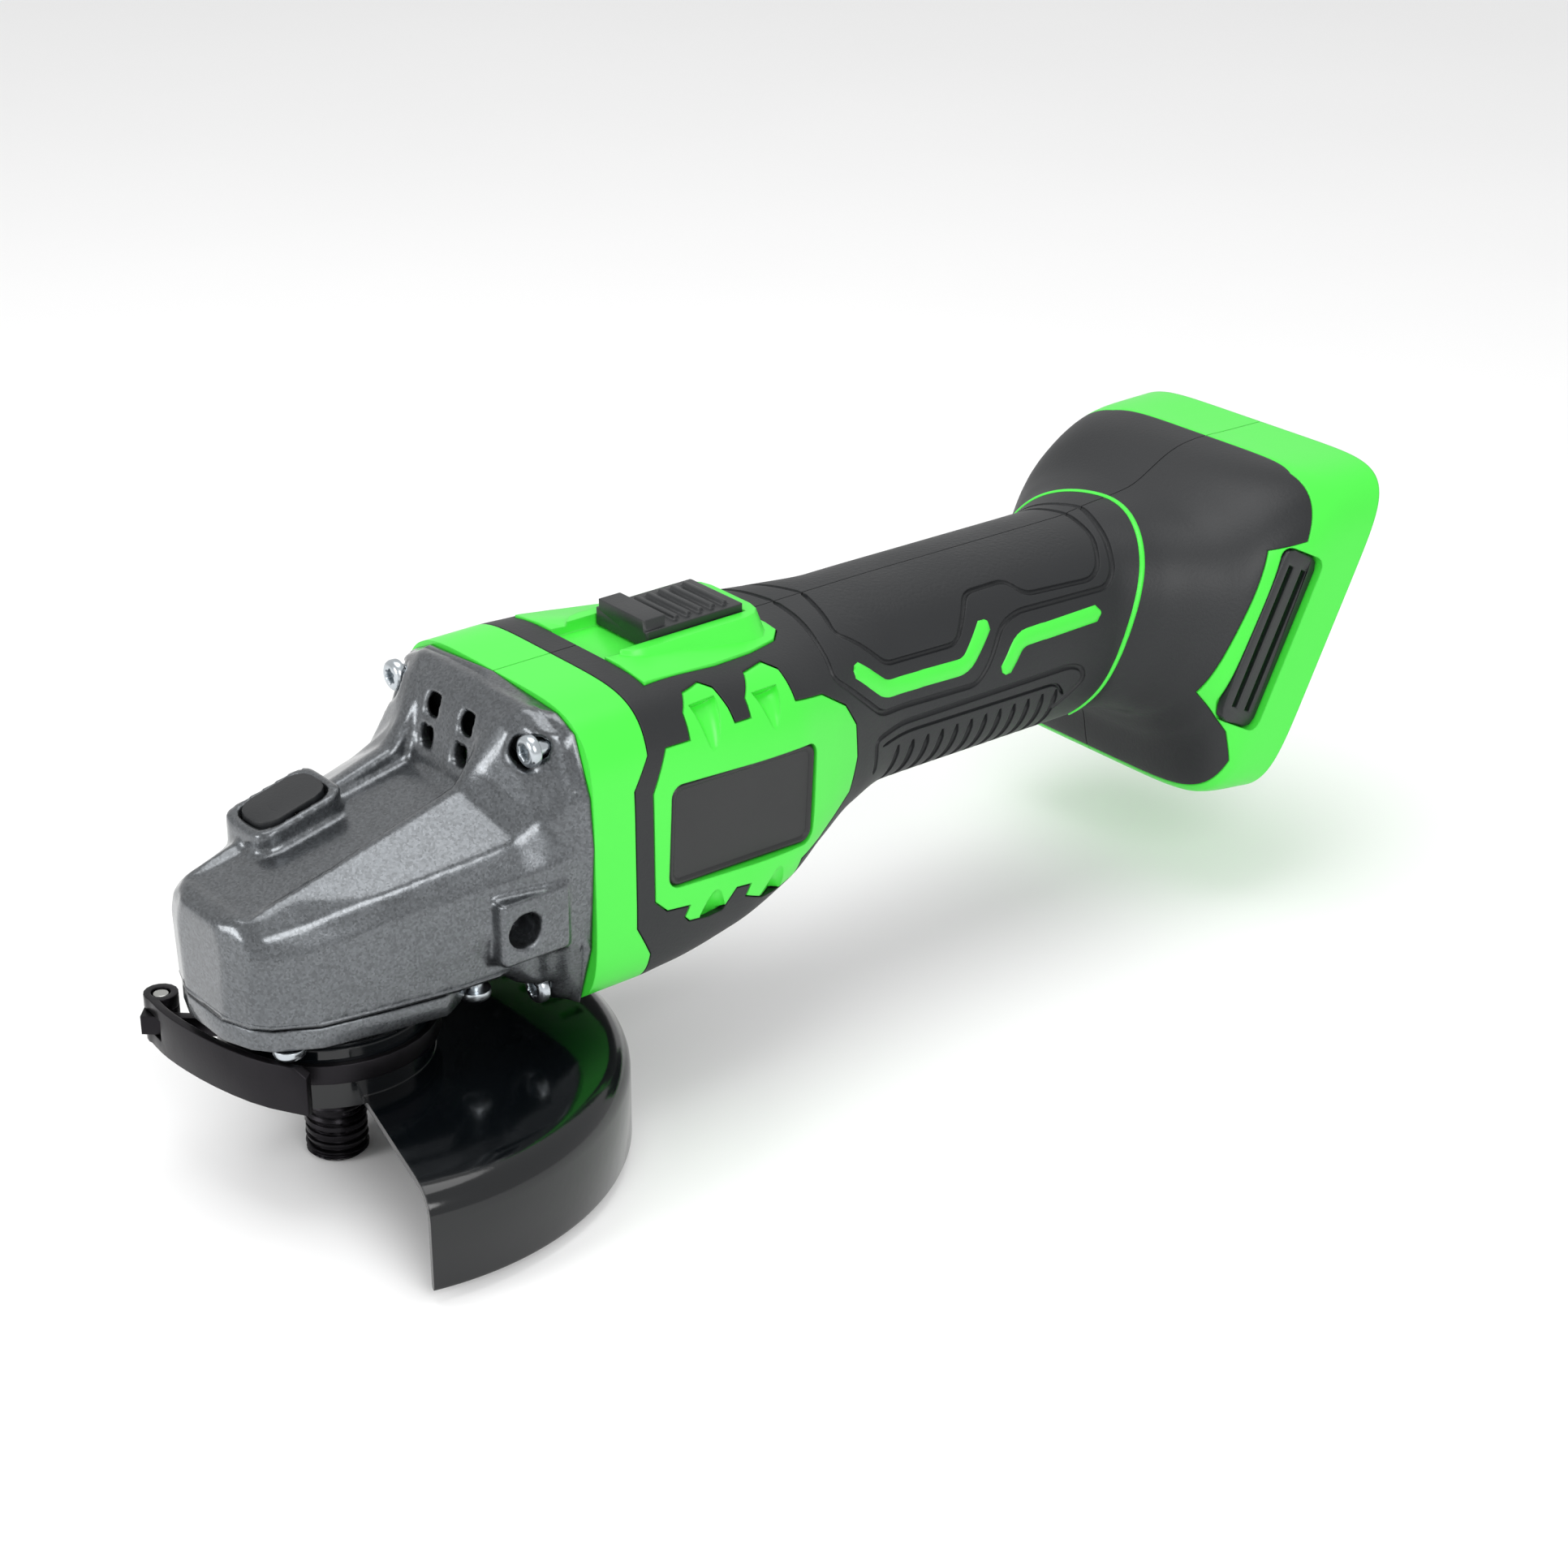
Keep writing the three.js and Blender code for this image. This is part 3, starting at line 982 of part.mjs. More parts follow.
// The clamp's hand lever: a bowed strip from its pivot past the nose to the near side.
function guardLever(low, high) {
  const [px, py] = LEVER_PIVOT;
  const bow = new THREE.CatmullRomCurve3(
    [[-3.6, -0.5], [-4.2, -7], [-3.9, -15], [-2.2, -26.5], [1.3, -38.5], [6.8, -48.3]].map(
      ([x, y]) => new THREE.Vector3(px + x, py + y, 0),
    ),
  );
  const steps = 12;
  const points = bow.getPoints(steps);
  const side = (t) => points.map((p, k) => {
    const way = bow.getTangent(k / steps);
    return [p.x + t * way.y, p.y - t * way.x];
  });
  const strip = prism([...side(0), ...side(-LEVER_WALL).reverse()], LEVER_Z, LEVER_Z + LEVER_HEIGHT);
  const knuckle = rod(LEVER_PIN_R + 2, LEVER_Z, LEVER_Z + LEVER_HEIGHT, 16, at(px, py, 0));
  const room = rod(LEVER_PIN_R + 6, low, high, 16, at(px, py, 0));
  const hole = rod(LEVER_PIN_R + RUN, 0, 60, 16, at(px, py, 0));
  const chamfer = box(-30, 30, -9, 9, 0, 20, at(px + 6.8, py - 48.3, LEVER_Z + LEVER_HEIGHT - 2, 40, 0, 0));
  return cut(join(strip, knuckle), room, hole, chamfer);
}

addGearHousing();
addSpindle();
addGears();
addMotor();
addBaffle();
addShells();
addSwitch();
addElectronics();
addBatteryContacts();
addLock();
addGuard();

export default group;
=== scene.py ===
import math

import bmesh
import bpy
from mathutils import Matrix, Vector
from mathutils.bvhtree import BVHTree


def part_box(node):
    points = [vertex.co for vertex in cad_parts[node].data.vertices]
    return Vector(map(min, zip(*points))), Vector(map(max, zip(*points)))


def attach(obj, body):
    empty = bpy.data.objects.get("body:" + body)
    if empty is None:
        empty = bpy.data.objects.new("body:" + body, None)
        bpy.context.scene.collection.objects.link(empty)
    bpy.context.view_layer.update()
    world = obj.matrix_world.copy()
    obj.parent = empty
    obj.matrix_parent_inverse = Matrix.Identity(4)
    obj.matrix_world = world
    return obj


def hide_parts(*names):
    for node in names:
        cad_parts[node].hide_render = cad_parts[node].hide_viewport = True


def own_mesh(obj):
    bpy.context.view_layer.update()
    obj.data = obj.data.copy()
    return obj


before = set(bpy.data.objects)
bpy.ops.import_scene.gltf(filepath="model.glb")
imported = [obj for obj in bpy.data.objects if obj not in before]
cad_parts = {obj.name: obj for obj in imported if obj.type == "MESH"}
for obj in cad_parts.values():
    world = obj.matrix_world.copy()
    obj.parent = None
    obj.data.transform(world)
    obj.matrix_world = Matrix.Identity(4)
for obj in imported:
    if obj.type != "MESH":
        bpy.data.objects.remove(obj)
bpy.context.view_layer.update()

MM = 0.001


# ---------------------------------------------------------------- camera
def place_camera():
    """The camera that the object was first looked at from, over the nose on its near side."""
    camera = bpy.data.cameras.new("camera")
    holder = bpy.data.objects.new("camera", camera)
    bpy.context.scene.collection.objects.link(holder)
    holder.location = (-0.29601, -0.51401, 0.37028)
    holder.rotation_euler = (math.radians(90 - 26.541), 0, math.radians(-38.984))
    camera.sensor_width = 36
    camera.lens = 71.54
    camera.shift_x = 0.0154
    camera.shift_y = 0.0306
    camera.clip_start = 0.01
    camera.clip_end = 20
    bpy.context.scene.camera = holder


# ---------------------------------------------------------------- materials
FLAKE_GLINT = (0.7, 1.4)  # how dark and how bright a flake is painted: a painted glint standing in for the sparkle of a metallic lacquer's flakes


def linear(code):
    """An sRGB hex colour as the linear colour a shader takes."""
    parts = [int(code[k : k + 2], 16) / 255 for k in (1, 3, 5)]
    return tuple(v / 12.92 if v <= 0.04045 else ((v + 0.055) / 1.055) ** 2.4 for v in parts) + (1.0,)


def put(tree, kind, values=None, links=None, **settings):
    """Adds a node with its settings, its socket values and the sockets that feed it."""
    made = tree.nodes.new(kind)
    for name, value in settings.items():
        setattr(made, name, value)
    for name, value in (values or {}).items():
        made.inputs[name].default_value = value
    for name, source in (links or {}).items():
        tree.links.new(source, made.inputs[name])
    return made


def finish(
    name, dark, light, rough, grain_mm, grain_depth_mm, blotch_mm=30, edge_mm=0.35, flake_mm=0, **shader
):
    """A moulded, painted or machined finish: two close tones in soft blotches, a fine grain, soft edges;
    with flakes, each flake painted brighter and darker as a painted glint.
    """
    made = bpy.data.materials.new(name)
    made.use_nodes = True
    made.diffuse_color = linear(light)
    tree = made.node_tree
    tree.nodes.clear()
    where = put(tree, "ShaderNodeTexCoord").outputs["Object"]
    blotch_size = {"Scale": 1 / (blotch_mm * MM), "Detail": 4.0}
    blotch = put(tree, "ShaderNodeTexNoise", blotch_size, {"Vector": where})
    tone = put(tree, "ShaderNodeMix", None, {"Factor": blotch.outputs["Fac"]}, data_type="RGBA")
    first, second = [socket for socket in tone.inputs if socket.type == "RGBA"]
    first.default_value = linear(dark)
    second.default_value = linear(light)
    colour = [socket for socket in tone.outputs if socket.type == "RGBA"][0]
    # Painted glint: each flake's colour is scaled up and down to stand in for the sparkle that light gives
    # the flakes.
    if flake_mm:
        flakes = put(tree, "ShaderNodeTexVoronoi", {"Scale": 1 / (flake_mm * MM)}, {"Vector": where})
        glint = {"To Min": FLAKE_GLINT[0], "To Max": FLAKE_GLINT[1]}
        spark = put(tree, "ShaderNodeMapRange", glint, {"Value": flakes.outputs["Color"]})
        shades = {0: colour, 1: spark.outputs["Result"]}
        lit = put(tree, "ShaderNodeVectorMath", None, shades, operation="MULTIPLY")
        colour = lit.outputs["Vector"]
    dull = put(
        tree,
        "ShaderNodeMapRange",
        {"From Min": 0.3, "From Max": 0.7, "To Min": rough[0], "To Max": rough[1]},
        {"Value": blotch.outputs["Fac"]},
    )
    grain_size = {"Scale": 1 / (grain_mm * MM), "Detail": 2.0}
    grain = put(tree, "ShaderNodeTexNoise", grain_size, {"Vector": where})
    edge = put(tree, "ShaderNodeBevel", {"Radius": edge_mm * MM}, samples=4)
    bump = put(
        tree,
        "ShaderNodeBump",
        {"Distance": grain_depth_mm * MM, "Strength": 1.0},
        {"Height": grain.outputs["Fac"], "Normal": edge.outputs["Normal"]},
    )
    face = put(
        tree,
        "ShaderNodeBsdfPrincipled",
        shader,
        {
            "Base Color": colour,
            "Roughness": dull.outputs["Result"],
            "Normal": bump.outputs["Normal"],
        },
    )
    put(tree, "ShaderNodeOutputMaterial", None, {"Surface": face.outputs["BSDF"]})
    return made


# Injection-moulded ABS, a bright apple green: satin, a very fine spark texture.
GREEN_ABS = finish("green_abs", "#3CD837", "#45E040", (0.3, 0.38), 0.9, 0.012, 40, 0.5, IOR=1.53)
# Thermoplastic elastomer overmoulding: blue-black, matt, with a soft grain that breaks the light.
TPE_RUBBER = finish("tpe_rubber", "#0C0E11", "#14171A", (0.44, 0.56), 0.8, 0.05, 35, 0.5, IOR=1.5)
# Glass-filled nylon: dark grey and slightly rough, for the slider, the grilles and the inner frames.
GLASS_NYLON = finish("glass_nylon", "#121416", "#1C1F21", (0.36, 0.48), 0.5, 0.03, 15, 0.35, IOR=1.53)
# Die-cast magnesium under grey metallic lacquer: a glossy coat over fine flakes, their sparkle painted into
# their colour as painted glints.
CAST_LACQUER = finish(
    "metallic_lacquer", "#55585B", "#636669", (0.24, 0.32), 0.45, 0.022, 12, 0.8, 0.5,
    **{"Metallic": 0.9, "Coat Weight": 0.5, "Coat Roughness": 0.1},
)
# Pressed steel under gloss black powder coat: near mirror, with a faint orange peel.
POWDER_COAT = finish(
    "gloss_powder_coat", "#050709", "#080B0E", (0.1, 0.15), 2.2, 0.02, 30, 0.6,
    **{"IOR": 1.45, "Coat Weight": 0.15, "Coat Roughness": 0.05},
)
# Black oxide on steel: dark, slightly brown, half polished where fingers reach.
BLACK_OXIDE = finish(
    "black_oxide_steel", "#1B1A1D", "#2A282B", (0.28, 0.42), 0.6, 0.012, 9, 0.4, Metallic=0.9
)
# Turned steel: bright, with fine tool marks.
TURNED_STEEL = finish("turned_steel", "#A3A39F", "#BFC0BD", (0.2, 0.3), 0.4, 0.008, 8, 0.3, Metallic=1.0)
# Zinc-plated screws: pale and bright with a slight blue.
ZINC_PLATE = finish("zinc_plate", "#A9B0B4", "#C9CFD4", (0.18, 0.32), 0.5, 0.01, 6, 0.3, Metallic=1.0)
# Sintered bronze: brown-gold, dull, with open pores.
SINTERED_BRONZE = finish(
    "sintered_bronze", "#8A6238", "#A87C4A", (0.38, 0.5), 0.3, 0.02, 5, 0.2, Metallic=1.0
)
# Enamelled copper wire, warm and glossy, its turns as a fine ripple.
COPPER_WIRE = finish(
    "enamelled_copper", "#9C4E22", "#B8642F", (0.25, 0.35), 0.8, 0.05, 5, 0.2, Metallic=1.0
)
# Stamped laminations of electrical steel, dull.
LAMINATION = finish("electrical_steel", "#5B5E60", "#74787A", (0.4, 0.52), 0.35, 0.03, 8, 0.2, Metallic=1.0)
# Epoxy glass board under green solder resist: deep green and glossy.
SOLDER_RESIST = finish("solder_resist", "#0D4A26", "#12602F", (0.3, 0.4), 1.2, 0.02, 10, 0.2, IOR=1.55)
# Moulded polycarbonate name plates: charcoal and satin.
PLATE_BLACK = finish("charcoal_plate", "#131415", "#1B1C1D", (0.38, 0.48), 0.4, 0.01, 20, 0.4, IOR=1.5)
# Tin-plated copper blades: pale, warm and softly bright.
TIN_PLATE = finish("tin_plate", "#B5B2A6", "#CBC8BC", (0.25, 0.36), 0.5, 0.01, 6, 0.2, Metallic=1.0)
# Studio paper under the tool: white and matt.
STUDIO_PAPER = finish("studio_paper", "#F4F4F4", "#F7F7F7", (0.8, 0.85), 1.5, 0.01, 200, 0.1, IOR=1.4)


def add_leather_grain(paint, top_z_mm, x_mm, crease_mm=1.7, depth_mm=0.14):
    """Leathery creases moulded into the top of the grip, above a height and between two places along it."""
    tree = paint.node_tree
    face = next(made for made in tree.nodes if made.type == "BSDF_PRINCIPLED")
    below = face.inputs["Normal"].links[0].from_socket
    where = put(tree, "ShaderNodeTexCoord").outputs["Object"]
    axes = put(tree, "ShaderNodeSeparateXYZ", None, {"Vector": where})
    size = {"Scale": 1 / (crease_mm * MM)}
    creases = put(tree, "ShaderNodeTexVoronoi", size, {"Vector": where}, feature="DISTANCE_TO_EDGE")
    reach = {
        "Z": (top_z_mm - 1, top_z_mm + 1),
        "X": (x_mm[0] - 1, x_mm[0] + 1),
        "-X": (x_mm[1] + 1, x_mm[1] - 1),
    }
    height = creases.outputs["Distance"]
    for axis, (low, high) in reach.items():
        band = {"From Min": low * MM, "From Max": high * MM}
        share = put(tree, "ShaderNodeMapRange", band, {"Value": axes.outputs[axis[-1]]})
        faded = put(
            tree, "ShaderNodeMath", None, {0: height, 1: share.outputs["Result"]}, operation="MULTIPLY"
        )
        height = faded.outputs[0]
    bump = put(tree, "ShaderNodeBump", {"Distance": depth_mm * MM}, {"Height": height, "Normal": below})
    tree.links.new(bump.outputs["Normal"], face.inputs["Normal"])


add_leather_grain(TPE_RUBBER, 94, (132, 208))

FINISHES = {
    CAST_LACQUER: ["gear_housing", "gearbox_cover"],
    ZINC_PLATE: ["cover_screw_", "collar_screw_", "shell_screw_"],
    TURNED_STEEL: [
        "crown_wheel", "spindle_bearing", "spindle_circlip", "pinion", "rotor_shaft", "front_bearing",
        "rear_bearing", "lever_pin", "lock_pin", "lock_spring",
    ],
    BLACK_OXIDE: ["spindle", "guard_clamp_band", "guard_lever", "rotor_magnets"],
    SINTERED_BRONZE: ["spindle_top_bush"],
    LAMINATION: ["rotor_core", "stator_core"],
    COPPER_WIRE: ["stator_windings"],
    GLASS_NYLON: [
        "cooling_fan", "fan_baffle", "foot_grille", "switch_slider", "switch_link", "micro_switch",
        "controller_tray", "capacitor", "terminal_block", "battery_rail", "lock_button",
    ],
    GREEN_ABS: ["shell_left", "shell_right", "switch_bezel"],
    TPE_RUBBER: ["grip_rubber", "grip_pad"],
    PLATE_BLACK: ["name_plate"],
    SOLDER_RESIST: ["controller_board"],
    TIN_PLATE: ["terminal_plus", "terminal_minus"],
    POWDER_COAT: ["guard"],
}


def dress_frame():
    """Gives each CAD node the finish whose list names it, the longest name first."""
    names = [(start, paint) for paint, starts in FINISHES.items() for start in starts]
    names.sort(key=lambda pair: -len(pair[0]))
    for node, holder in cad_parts.items():
        paint = next(paint for start, paint in names if node.startswith(start))
        for place in holder.material_slots:
            place.material = paint


# ---------------------------------------------------------------- mesh helpers
def piece(name, points, faces, paint):
    """A mesh object from points in metres, with one finish."""
    data = bpy.data.meshes.new(name)
    data.from_pydata([Vector(p) for p in points], [], faces)
    data.validate()
    made = bpy.data.objects.new(name, data)
    bpy.context.scene.collection.objects.link(made)
    data.materials.append(paint)
    return made


def soften(made, degrees=32):
    """Smooth shading with the edges sharper than an angle kept crisp."""
    made.data.polygons.foreach_set("use_smooth", [True] * len(made.data.polygons))
    made.data.set_sharp_from_angle(angle=math.radians(degrees))
    made.data.update()
    return made


def face_out(made):
    """Welds the mesh and turns its faces outwards."""
    work = bmesh.new()
    work.from_mesh(made.data)
    bmesh.ops.remove_doubles(work, verts=work.verts, dist=1e-6)
    bmesh.ops.recalc_face_normals(work, faces=work.faces)
    if work.calc_volume() < 0:
        bmesh.ops.reverse_faces(work, faces=work.faces)
    work.to_mesh(made.data)
    work.free()
    return made


def loft(name, rings, paint, closed=False):
    """Rings of as many points each, in mm, joined into one closed solid."""
    n = len(rings[0])
    points = [Vector(p) * MM for ring in rings for p in ring]
    faces = []
    for k in range(len(rings) if closed else len(rings) - 1):
        here, there = k * n, (k + 1) % len(rings) * n
        faces += [(here + j, here + (j + 1) % n, there + (j + 1) % n, there + j) for j in range(n)]
    if not closed:
        faces += [tuple(range(n)), tuple(range((len(rings) - 1) * n, len(rings) * n))]
    return face_out(piece(name, points, faces, paint))


def prism(name, outline, low, high, paint, place=Matrix()):
    """A flat outline in mm pulled up from low to high, then placed."""
    return loft(name, [[place @ Vector((x, y, z)) for x, y in outline] for z in (low, high)], paint)


def merged_copy(node, name, paint):
    """A welded copy of a CAD node, with one finish."""
    made = bpy.data.objects.new(name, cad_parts[node].data.copy())
    bpy.context.scene.collection.objects.link(made)
    made.data.materials.clear()
    made.data.materials.append(paint)
    for polygon in made.data.polygons:
        polygon.material_index = 0
    return face_out(made)


def settle(made):
    """Turns what the modifiers make into the piece's own plain mesh."""
    shown = made.evaluated_get(bpy.context.evaluated_depsgraph_get())
    data = bpy.data.meshes.new_from_object(shown)
    made.modifiers.clear()
    old = made.data
    made.data = data
    bpy.data.meshes.remove(old)
    return made


def shape(made, tool, operation, solver):
    """The mesh that one boolean step makes."""
    step = made.modifiers.new("shape", "BOOLEAN")
    step.operation = operation
    step.solver = solver
    step.object = tool
    shown = made.evaluated_get(bpy.context.evaluated_depsgraph_get())
    data = bpy.data.meshes.new_from_object(shown)
    made.modifiers.clear()
    return data


def boolean(made, operation, *tools):
    """Cuts, joins or keeps what is common, one tool after another; the tools are used up."""
    for tool in tools:
        before = (len(made.data.vertices), len(made.data.polygons))
        data = shape(made, tool, operation, "MANIFOLD")
        if len(data.vertices) == 0 or (len(data.vertices), len(data.polygons)) == before:
            data = shape(made, tool, operation, "EXACT")
        made.data = data
        bpy.data.objects.remove(tool)
    paint = made.data.materials[0]
    made.data.materials.clear()
    made.data.materials.append(paint)
    made.data.polygons.foreach_set("material_index", [0] * len(made.data.polygons))
    return made


def twin(made, name):
    other = bpy.data.objects.new(name, made.data.copy())
    bpy.context.scene.collection.objects.link(other)
    return other


def brick(x0, x1, y0, y1, z0, z1, place=Matrix()):
    """A plain box in mm, to cut or keep with."""
    return prism("tool", [(x0, y0), (x1, y0), (x1, y1), (x0, y1)], z0, z1, GREEN_ABS, place)


def rounded(w, h, r, steps=6):
    """A rectangle with round corners, by its half width and half height."""
    corners = [(w - r, h - r, 0), (r - w, h - r, 90), (r - w, r - h, 180), (w - r, r - h, 270)]
    made = []
    for x, y, start in corners:
        for k in range(steps + 1):
            a = math.radians(start + 90 * k / steps)
            made.append((x + r * math.cos(a), y + r * math.sin(a)))
    return made


def round_angles(count):
    return [2 * math.pi * k / count for k in range(count)]


def eased(points, radius=2.5, steps=4):
    """An open path with its corners turned in a small arc."""
    made = [points[0]]
    for a, b, c in zip(points, points[1:], points[2:]):
        near = b + (a - b).normalized() * min(radius, (a - b).length * 0.45)
        far = b + (c - b).normalized() * min(radius, (c - b).length * 0.45)
        for k in range(steps + 1):
            t = k / steps
            made.append(near * (1 - t) ** 2 + b * 2 * t * (1 - t) + far * t * t)
    return made + [points[-1]]


def bar(name, path, normals, half_width, half_height, paint, sides=8):
    """A bar of elliptic section along a path, flat on the surface it follows, in mm."""
    rings = []
    for k, point in enumerate(path):
        ahead = path[min(k + 1, len(path) - 1)] - path[max(k - 1, 0)]
        across = ahead.cross(normals[k]).normalized()
        up = across.cross(ahead).normalized()
        taper = 0.35 if k in (0, len(path) - 1) else 1.0
        rings.append(
            [
                point
                + across * half_width * taper * math.cos(2 * math.pi * (j + 0.5) / sides)
                + up * half_height * math.sin(2 * math.pi * (j + 0.5) / sides)
                for j in range(sides)
            ]
        )
    return loft(name, rings, paint)


# ---------------------------------------------------------------- the body's form
SEAM_X, BEZEL_X0, HANDLE_X0, HANDLE_X1 = 46.3, 69.5, 145.0, 212.0
FOOT_X, FOOT_Z, FOOT_TILT = 265.4, 66.4, 27.43
FOOT = Matrix.Translation((FOOT_X, 0, FOOT_Z)) @ Matrix.Rotation(math.radians(FOOT_TILT), 4, "Y")
SIDE_VIEW = Matrix.Rotation(math.radians(90), 4, "X")  # stands an outline of x and z up across the tool
BODY_W, HANDLE_W = 35.7, 24.3  # half widths of the motor's body and the handle
FOOT_W = 45.7  # half width of the foot
SKIN = 1.5  # the rubber
WALL = 2.6  # the shell
GAP = 0.3


def mix(a, b, share):
    return a + (b - a) * share


def waist(t, squareness):
    """A section on the way from the motor to the handle, t from 0 to 1."""
    ease = t * t * (3 - 2 * t)
    late = max(0.0, (t - 0.33) / 0.67)
    narrowing = late * late * (3 - 2 * late)
    bottom = mix(31.0, 48.6, ease)
    top = mix(102.0, 98.0, min(1.0, 2 * t))
    middle, half_height = (top + bottom) / 2, (top - bottom) / 2
    half_width = mix(BODY_W, HANDLE_W, narrowing)
    return [mix(BEZEL_X0, HANDLE_X0, t), middle, 0, half_width, half_height, squareness]


def foot_station(back, drop, tilt, w, h, squareness):
    """A section ahead of the foot by some mm, and down by some, along its tilted axes."""
    c, s = math.cos(math.radians(FOOT_TILT)), math.sin(math.radians(FOOT_TILT))
    return [FOOT_X - back * c - drop * s, FOOT_Z + back * s - drop * c, tilt, w, h, squareness]


STATIONS = [
    [SEAM_X, 66.5, 0, BODY_W, 35.5, 5],
    [60, 66.5, 0, BODY_W, 35.5, 5],
    waist(0, 4.6),
    waist(0.25, 4.2),
    waist(0.45, 3.8),
    waist(0.62, 3.2),
    waist(0.8, 2.8),
    [HANDLE_X0, 73.3, 0, HANDLE_W, 24.7, 2.4],
    [(HANDLE_X0 + HANDLE_X1) / 2, 72.9, 0, HANDLE_W, 24.7, 2.4],
    [HANDLE_X1, 72.5, 4, HANDLE_W, 24.7, 2.4],
    foot_station(42, 14, 12, 28.3, 25.5, 2.6),
    foot_station(34, 10, 17, 36.3, 27.2, 3),
    foot_station(27, 6, 22, 42.7, 33.7, 3.6),
    foot_station(13, 5.4, FOOT_TILT, 45.2, 43.85, 6.5),
    [FOOT_X, FOOT_Z, FOOT_TILT, FOOT_W, 44.75, 7],
]


def flowing(rows, spacing):
    """Rows between the given ones, on a curve through them that never swings past them."""
    reach = [0.0]
    for a, b in zip(rows, rows[1:]):
        reach.append(reach[-1] + math.hypot(b[0] - a[0], b[1] - a[1]))
    slopes = []
    for c in range(len(rows[0])):
        rise = [(rows[k + 1][c] - rows[k][c]) / (reach[k + 1] - reach[k]) for k in range(len(rows) - 1)]
        inner = [2 * a * b / (a + b) if a * b > 0 else 0.0 for a, b in zip(rise, rise[1:])]
        slopes.append([rise[0]] + inner + [rise[-1]])
    made = []
    for k in range(len(rows) - 1):
        gap = reach[k + 1] - reach[k]
        count = max(1, round(gap / spacing))
        for step in range(count):
            t = step / count
            a, b = (1 + 2 * t) * (1 - t) ** 2, t * (1 - t) ** 2
            c, d = t * t * (3 - 2 * t), t * t * (t - 1)
            row = []
            for i, slope in enumerate(slopes):
                near = a * rows[k][i] + b * gap * slope[k]
                row.append(near + c * rows[k + 1][i] + d * gap * slope[k + 1])
            made.append(row)
    return made + [rows[-1]]


def body_form(name, inset, paint, ahead=3, spacing=1.3, count=168):
    """The body's outer form, or the same form set in by some millimetres."""
    rings = []
    for x, z, tilt, w, h, n in flowing(STATIONS, spacing):
        lean = math.radians(tilt)
        ring = []
        for k in range(count):
            angle = 2 * math.pi * (k + 0.5) / count
            c, s = math.cos(angle), math.sin(angle)
            across = (w - inset) * math.copysign(abs(c) ** (2 / n), c)
            up = (h - inset) * math.copysign(abs(s) ** (2 / n), s)
            ring.append(Vector((x + up * math.sin(lean), across, z + up * math.cos(lean))))
        rings.append(ring)
    if inset:
        rings[0] = [p - Vector((ahead, 0, 0)) for p in rings[0]]
    return loft(name, rings, paint)


# ---------------------------------------------------------------- what lies on the body
# Paths on the near flank, x, y, z in mm; each is laid on the surface before use.
PAD_LINE = [
    (132.3, 0, 98), (127, -17.9, 95.1), (138.7, -22.9, 86), (160.7, -22.5, 85), (169, -15.8, 93.6),
    (181.3, -15.7, 93.5), (185.5, -19.3, 90.1), (206.8, -20.1, 88.8), (210.5, -18.5, 90.8),
    (214.4, -12.5, 95.1), (216.9, 0, 97.2),
]
SHOULDER_LINE = [
    (123.9, 0, 98), (122.5, -9.8, 97.7), (120.3, -20.1, 95.1), (119.3, -27.1, 89), (135.6, -25.3, 75.1),
    (165.9, -24.3, 73.8), (169.4, -24.2, 77), (175.2, -22.1, 85.7), (181.2, -21.2, 87.4),
    (210.5, -21.6, 86.2), (214, -20.3, 89.1), (216.9, -14.6, 94.3), (222.1, 0, 97.1),
]
LOWER_LINE = [
    (135.5, -27, 58.4), (133.7, -27, 69), (143.1, -25, 70.5), (197.2, -25, 70), (200.9, -25, 68.3),
    (202.2, -25, 64.8), (192.1, -22, 57.5),
]
LOWER_INNER = [(136.5, -26, 66.5), (145.9, -25, 67.6), (192.8, -25, 66.4), (196, -24, 62)]
STRIPES = [
    [(127.6, -25, 88.8), (137.3, -25, 80.5), (162.7, -25, 79.4), (171.1, -22, 88.1)],
    [(174.7, -25, 74.1), (180.3, -24, 81.3), (206.8, -24, 81.4)],
]
TAIL_RING = [
    (205, -17, 51), (207, -20, 55), (209.9, -22.2, 60), (213.4, -24.6, 68.5), (217, -25.3, 79.3),
    (221.2, -22.9, 88.1), (224.9, -17.8, 93.4), (229.4, -8.5, 96.7), (231.5, 0, 97.2),
]
PANEL = [
    (62.2, 55), (62.2, 80.8), (66.4, 90), (73.2, 89.8), (73.2, 95.3), (75.7, 98.1), (81.3, 98.3),
    (83.8, 97.1), (85.1, 93.3), (85.7, 90), (90.6, 89.8), (90.8, 93.6), (94.7, 96.6), (101.6, 96.5),
    (104, 95.2), (104.2, 89.4), (113.8, 87.5), (121.6, 82.3), (125.5, 76.3), (126.2, 68),
    (124, 59.8), (113.2, 52.8), (105.4, 50.8), (104.8, 46), (99.7, 44.9), (93.5, 45.4), (88, 47.9),
    (89.2, 50.7), (84.8, 51.2), (81, 46.8), (77, 46.5), (71.7, 47.2), (70.5, 48.5), (71.9, 51.1),
    (65.4, 51.9),
]
PLATE_AT = (87.5, 67.8)
PLATE_HALF = (21, 12)
PLATE_LEAN = 3  # degrees, in plan and in side view
GRILLE_AT = (-19, -5.5)  # along the foot's depth and height
GRILLE_HALF = (6.5, 22.5)
POCKET_TOP = 20  # well clear of the body
# Where the green of the foot begins, along its depth and height in the foot's own frame.
FOOT_LINE = [
    (-15, 60), (-15, 40), (-20, 34), (-20, 20), (-29, 14.5), (-29.5, -24), (-20.5, -30.5), (-16, -37),
    (-16, -60),
]


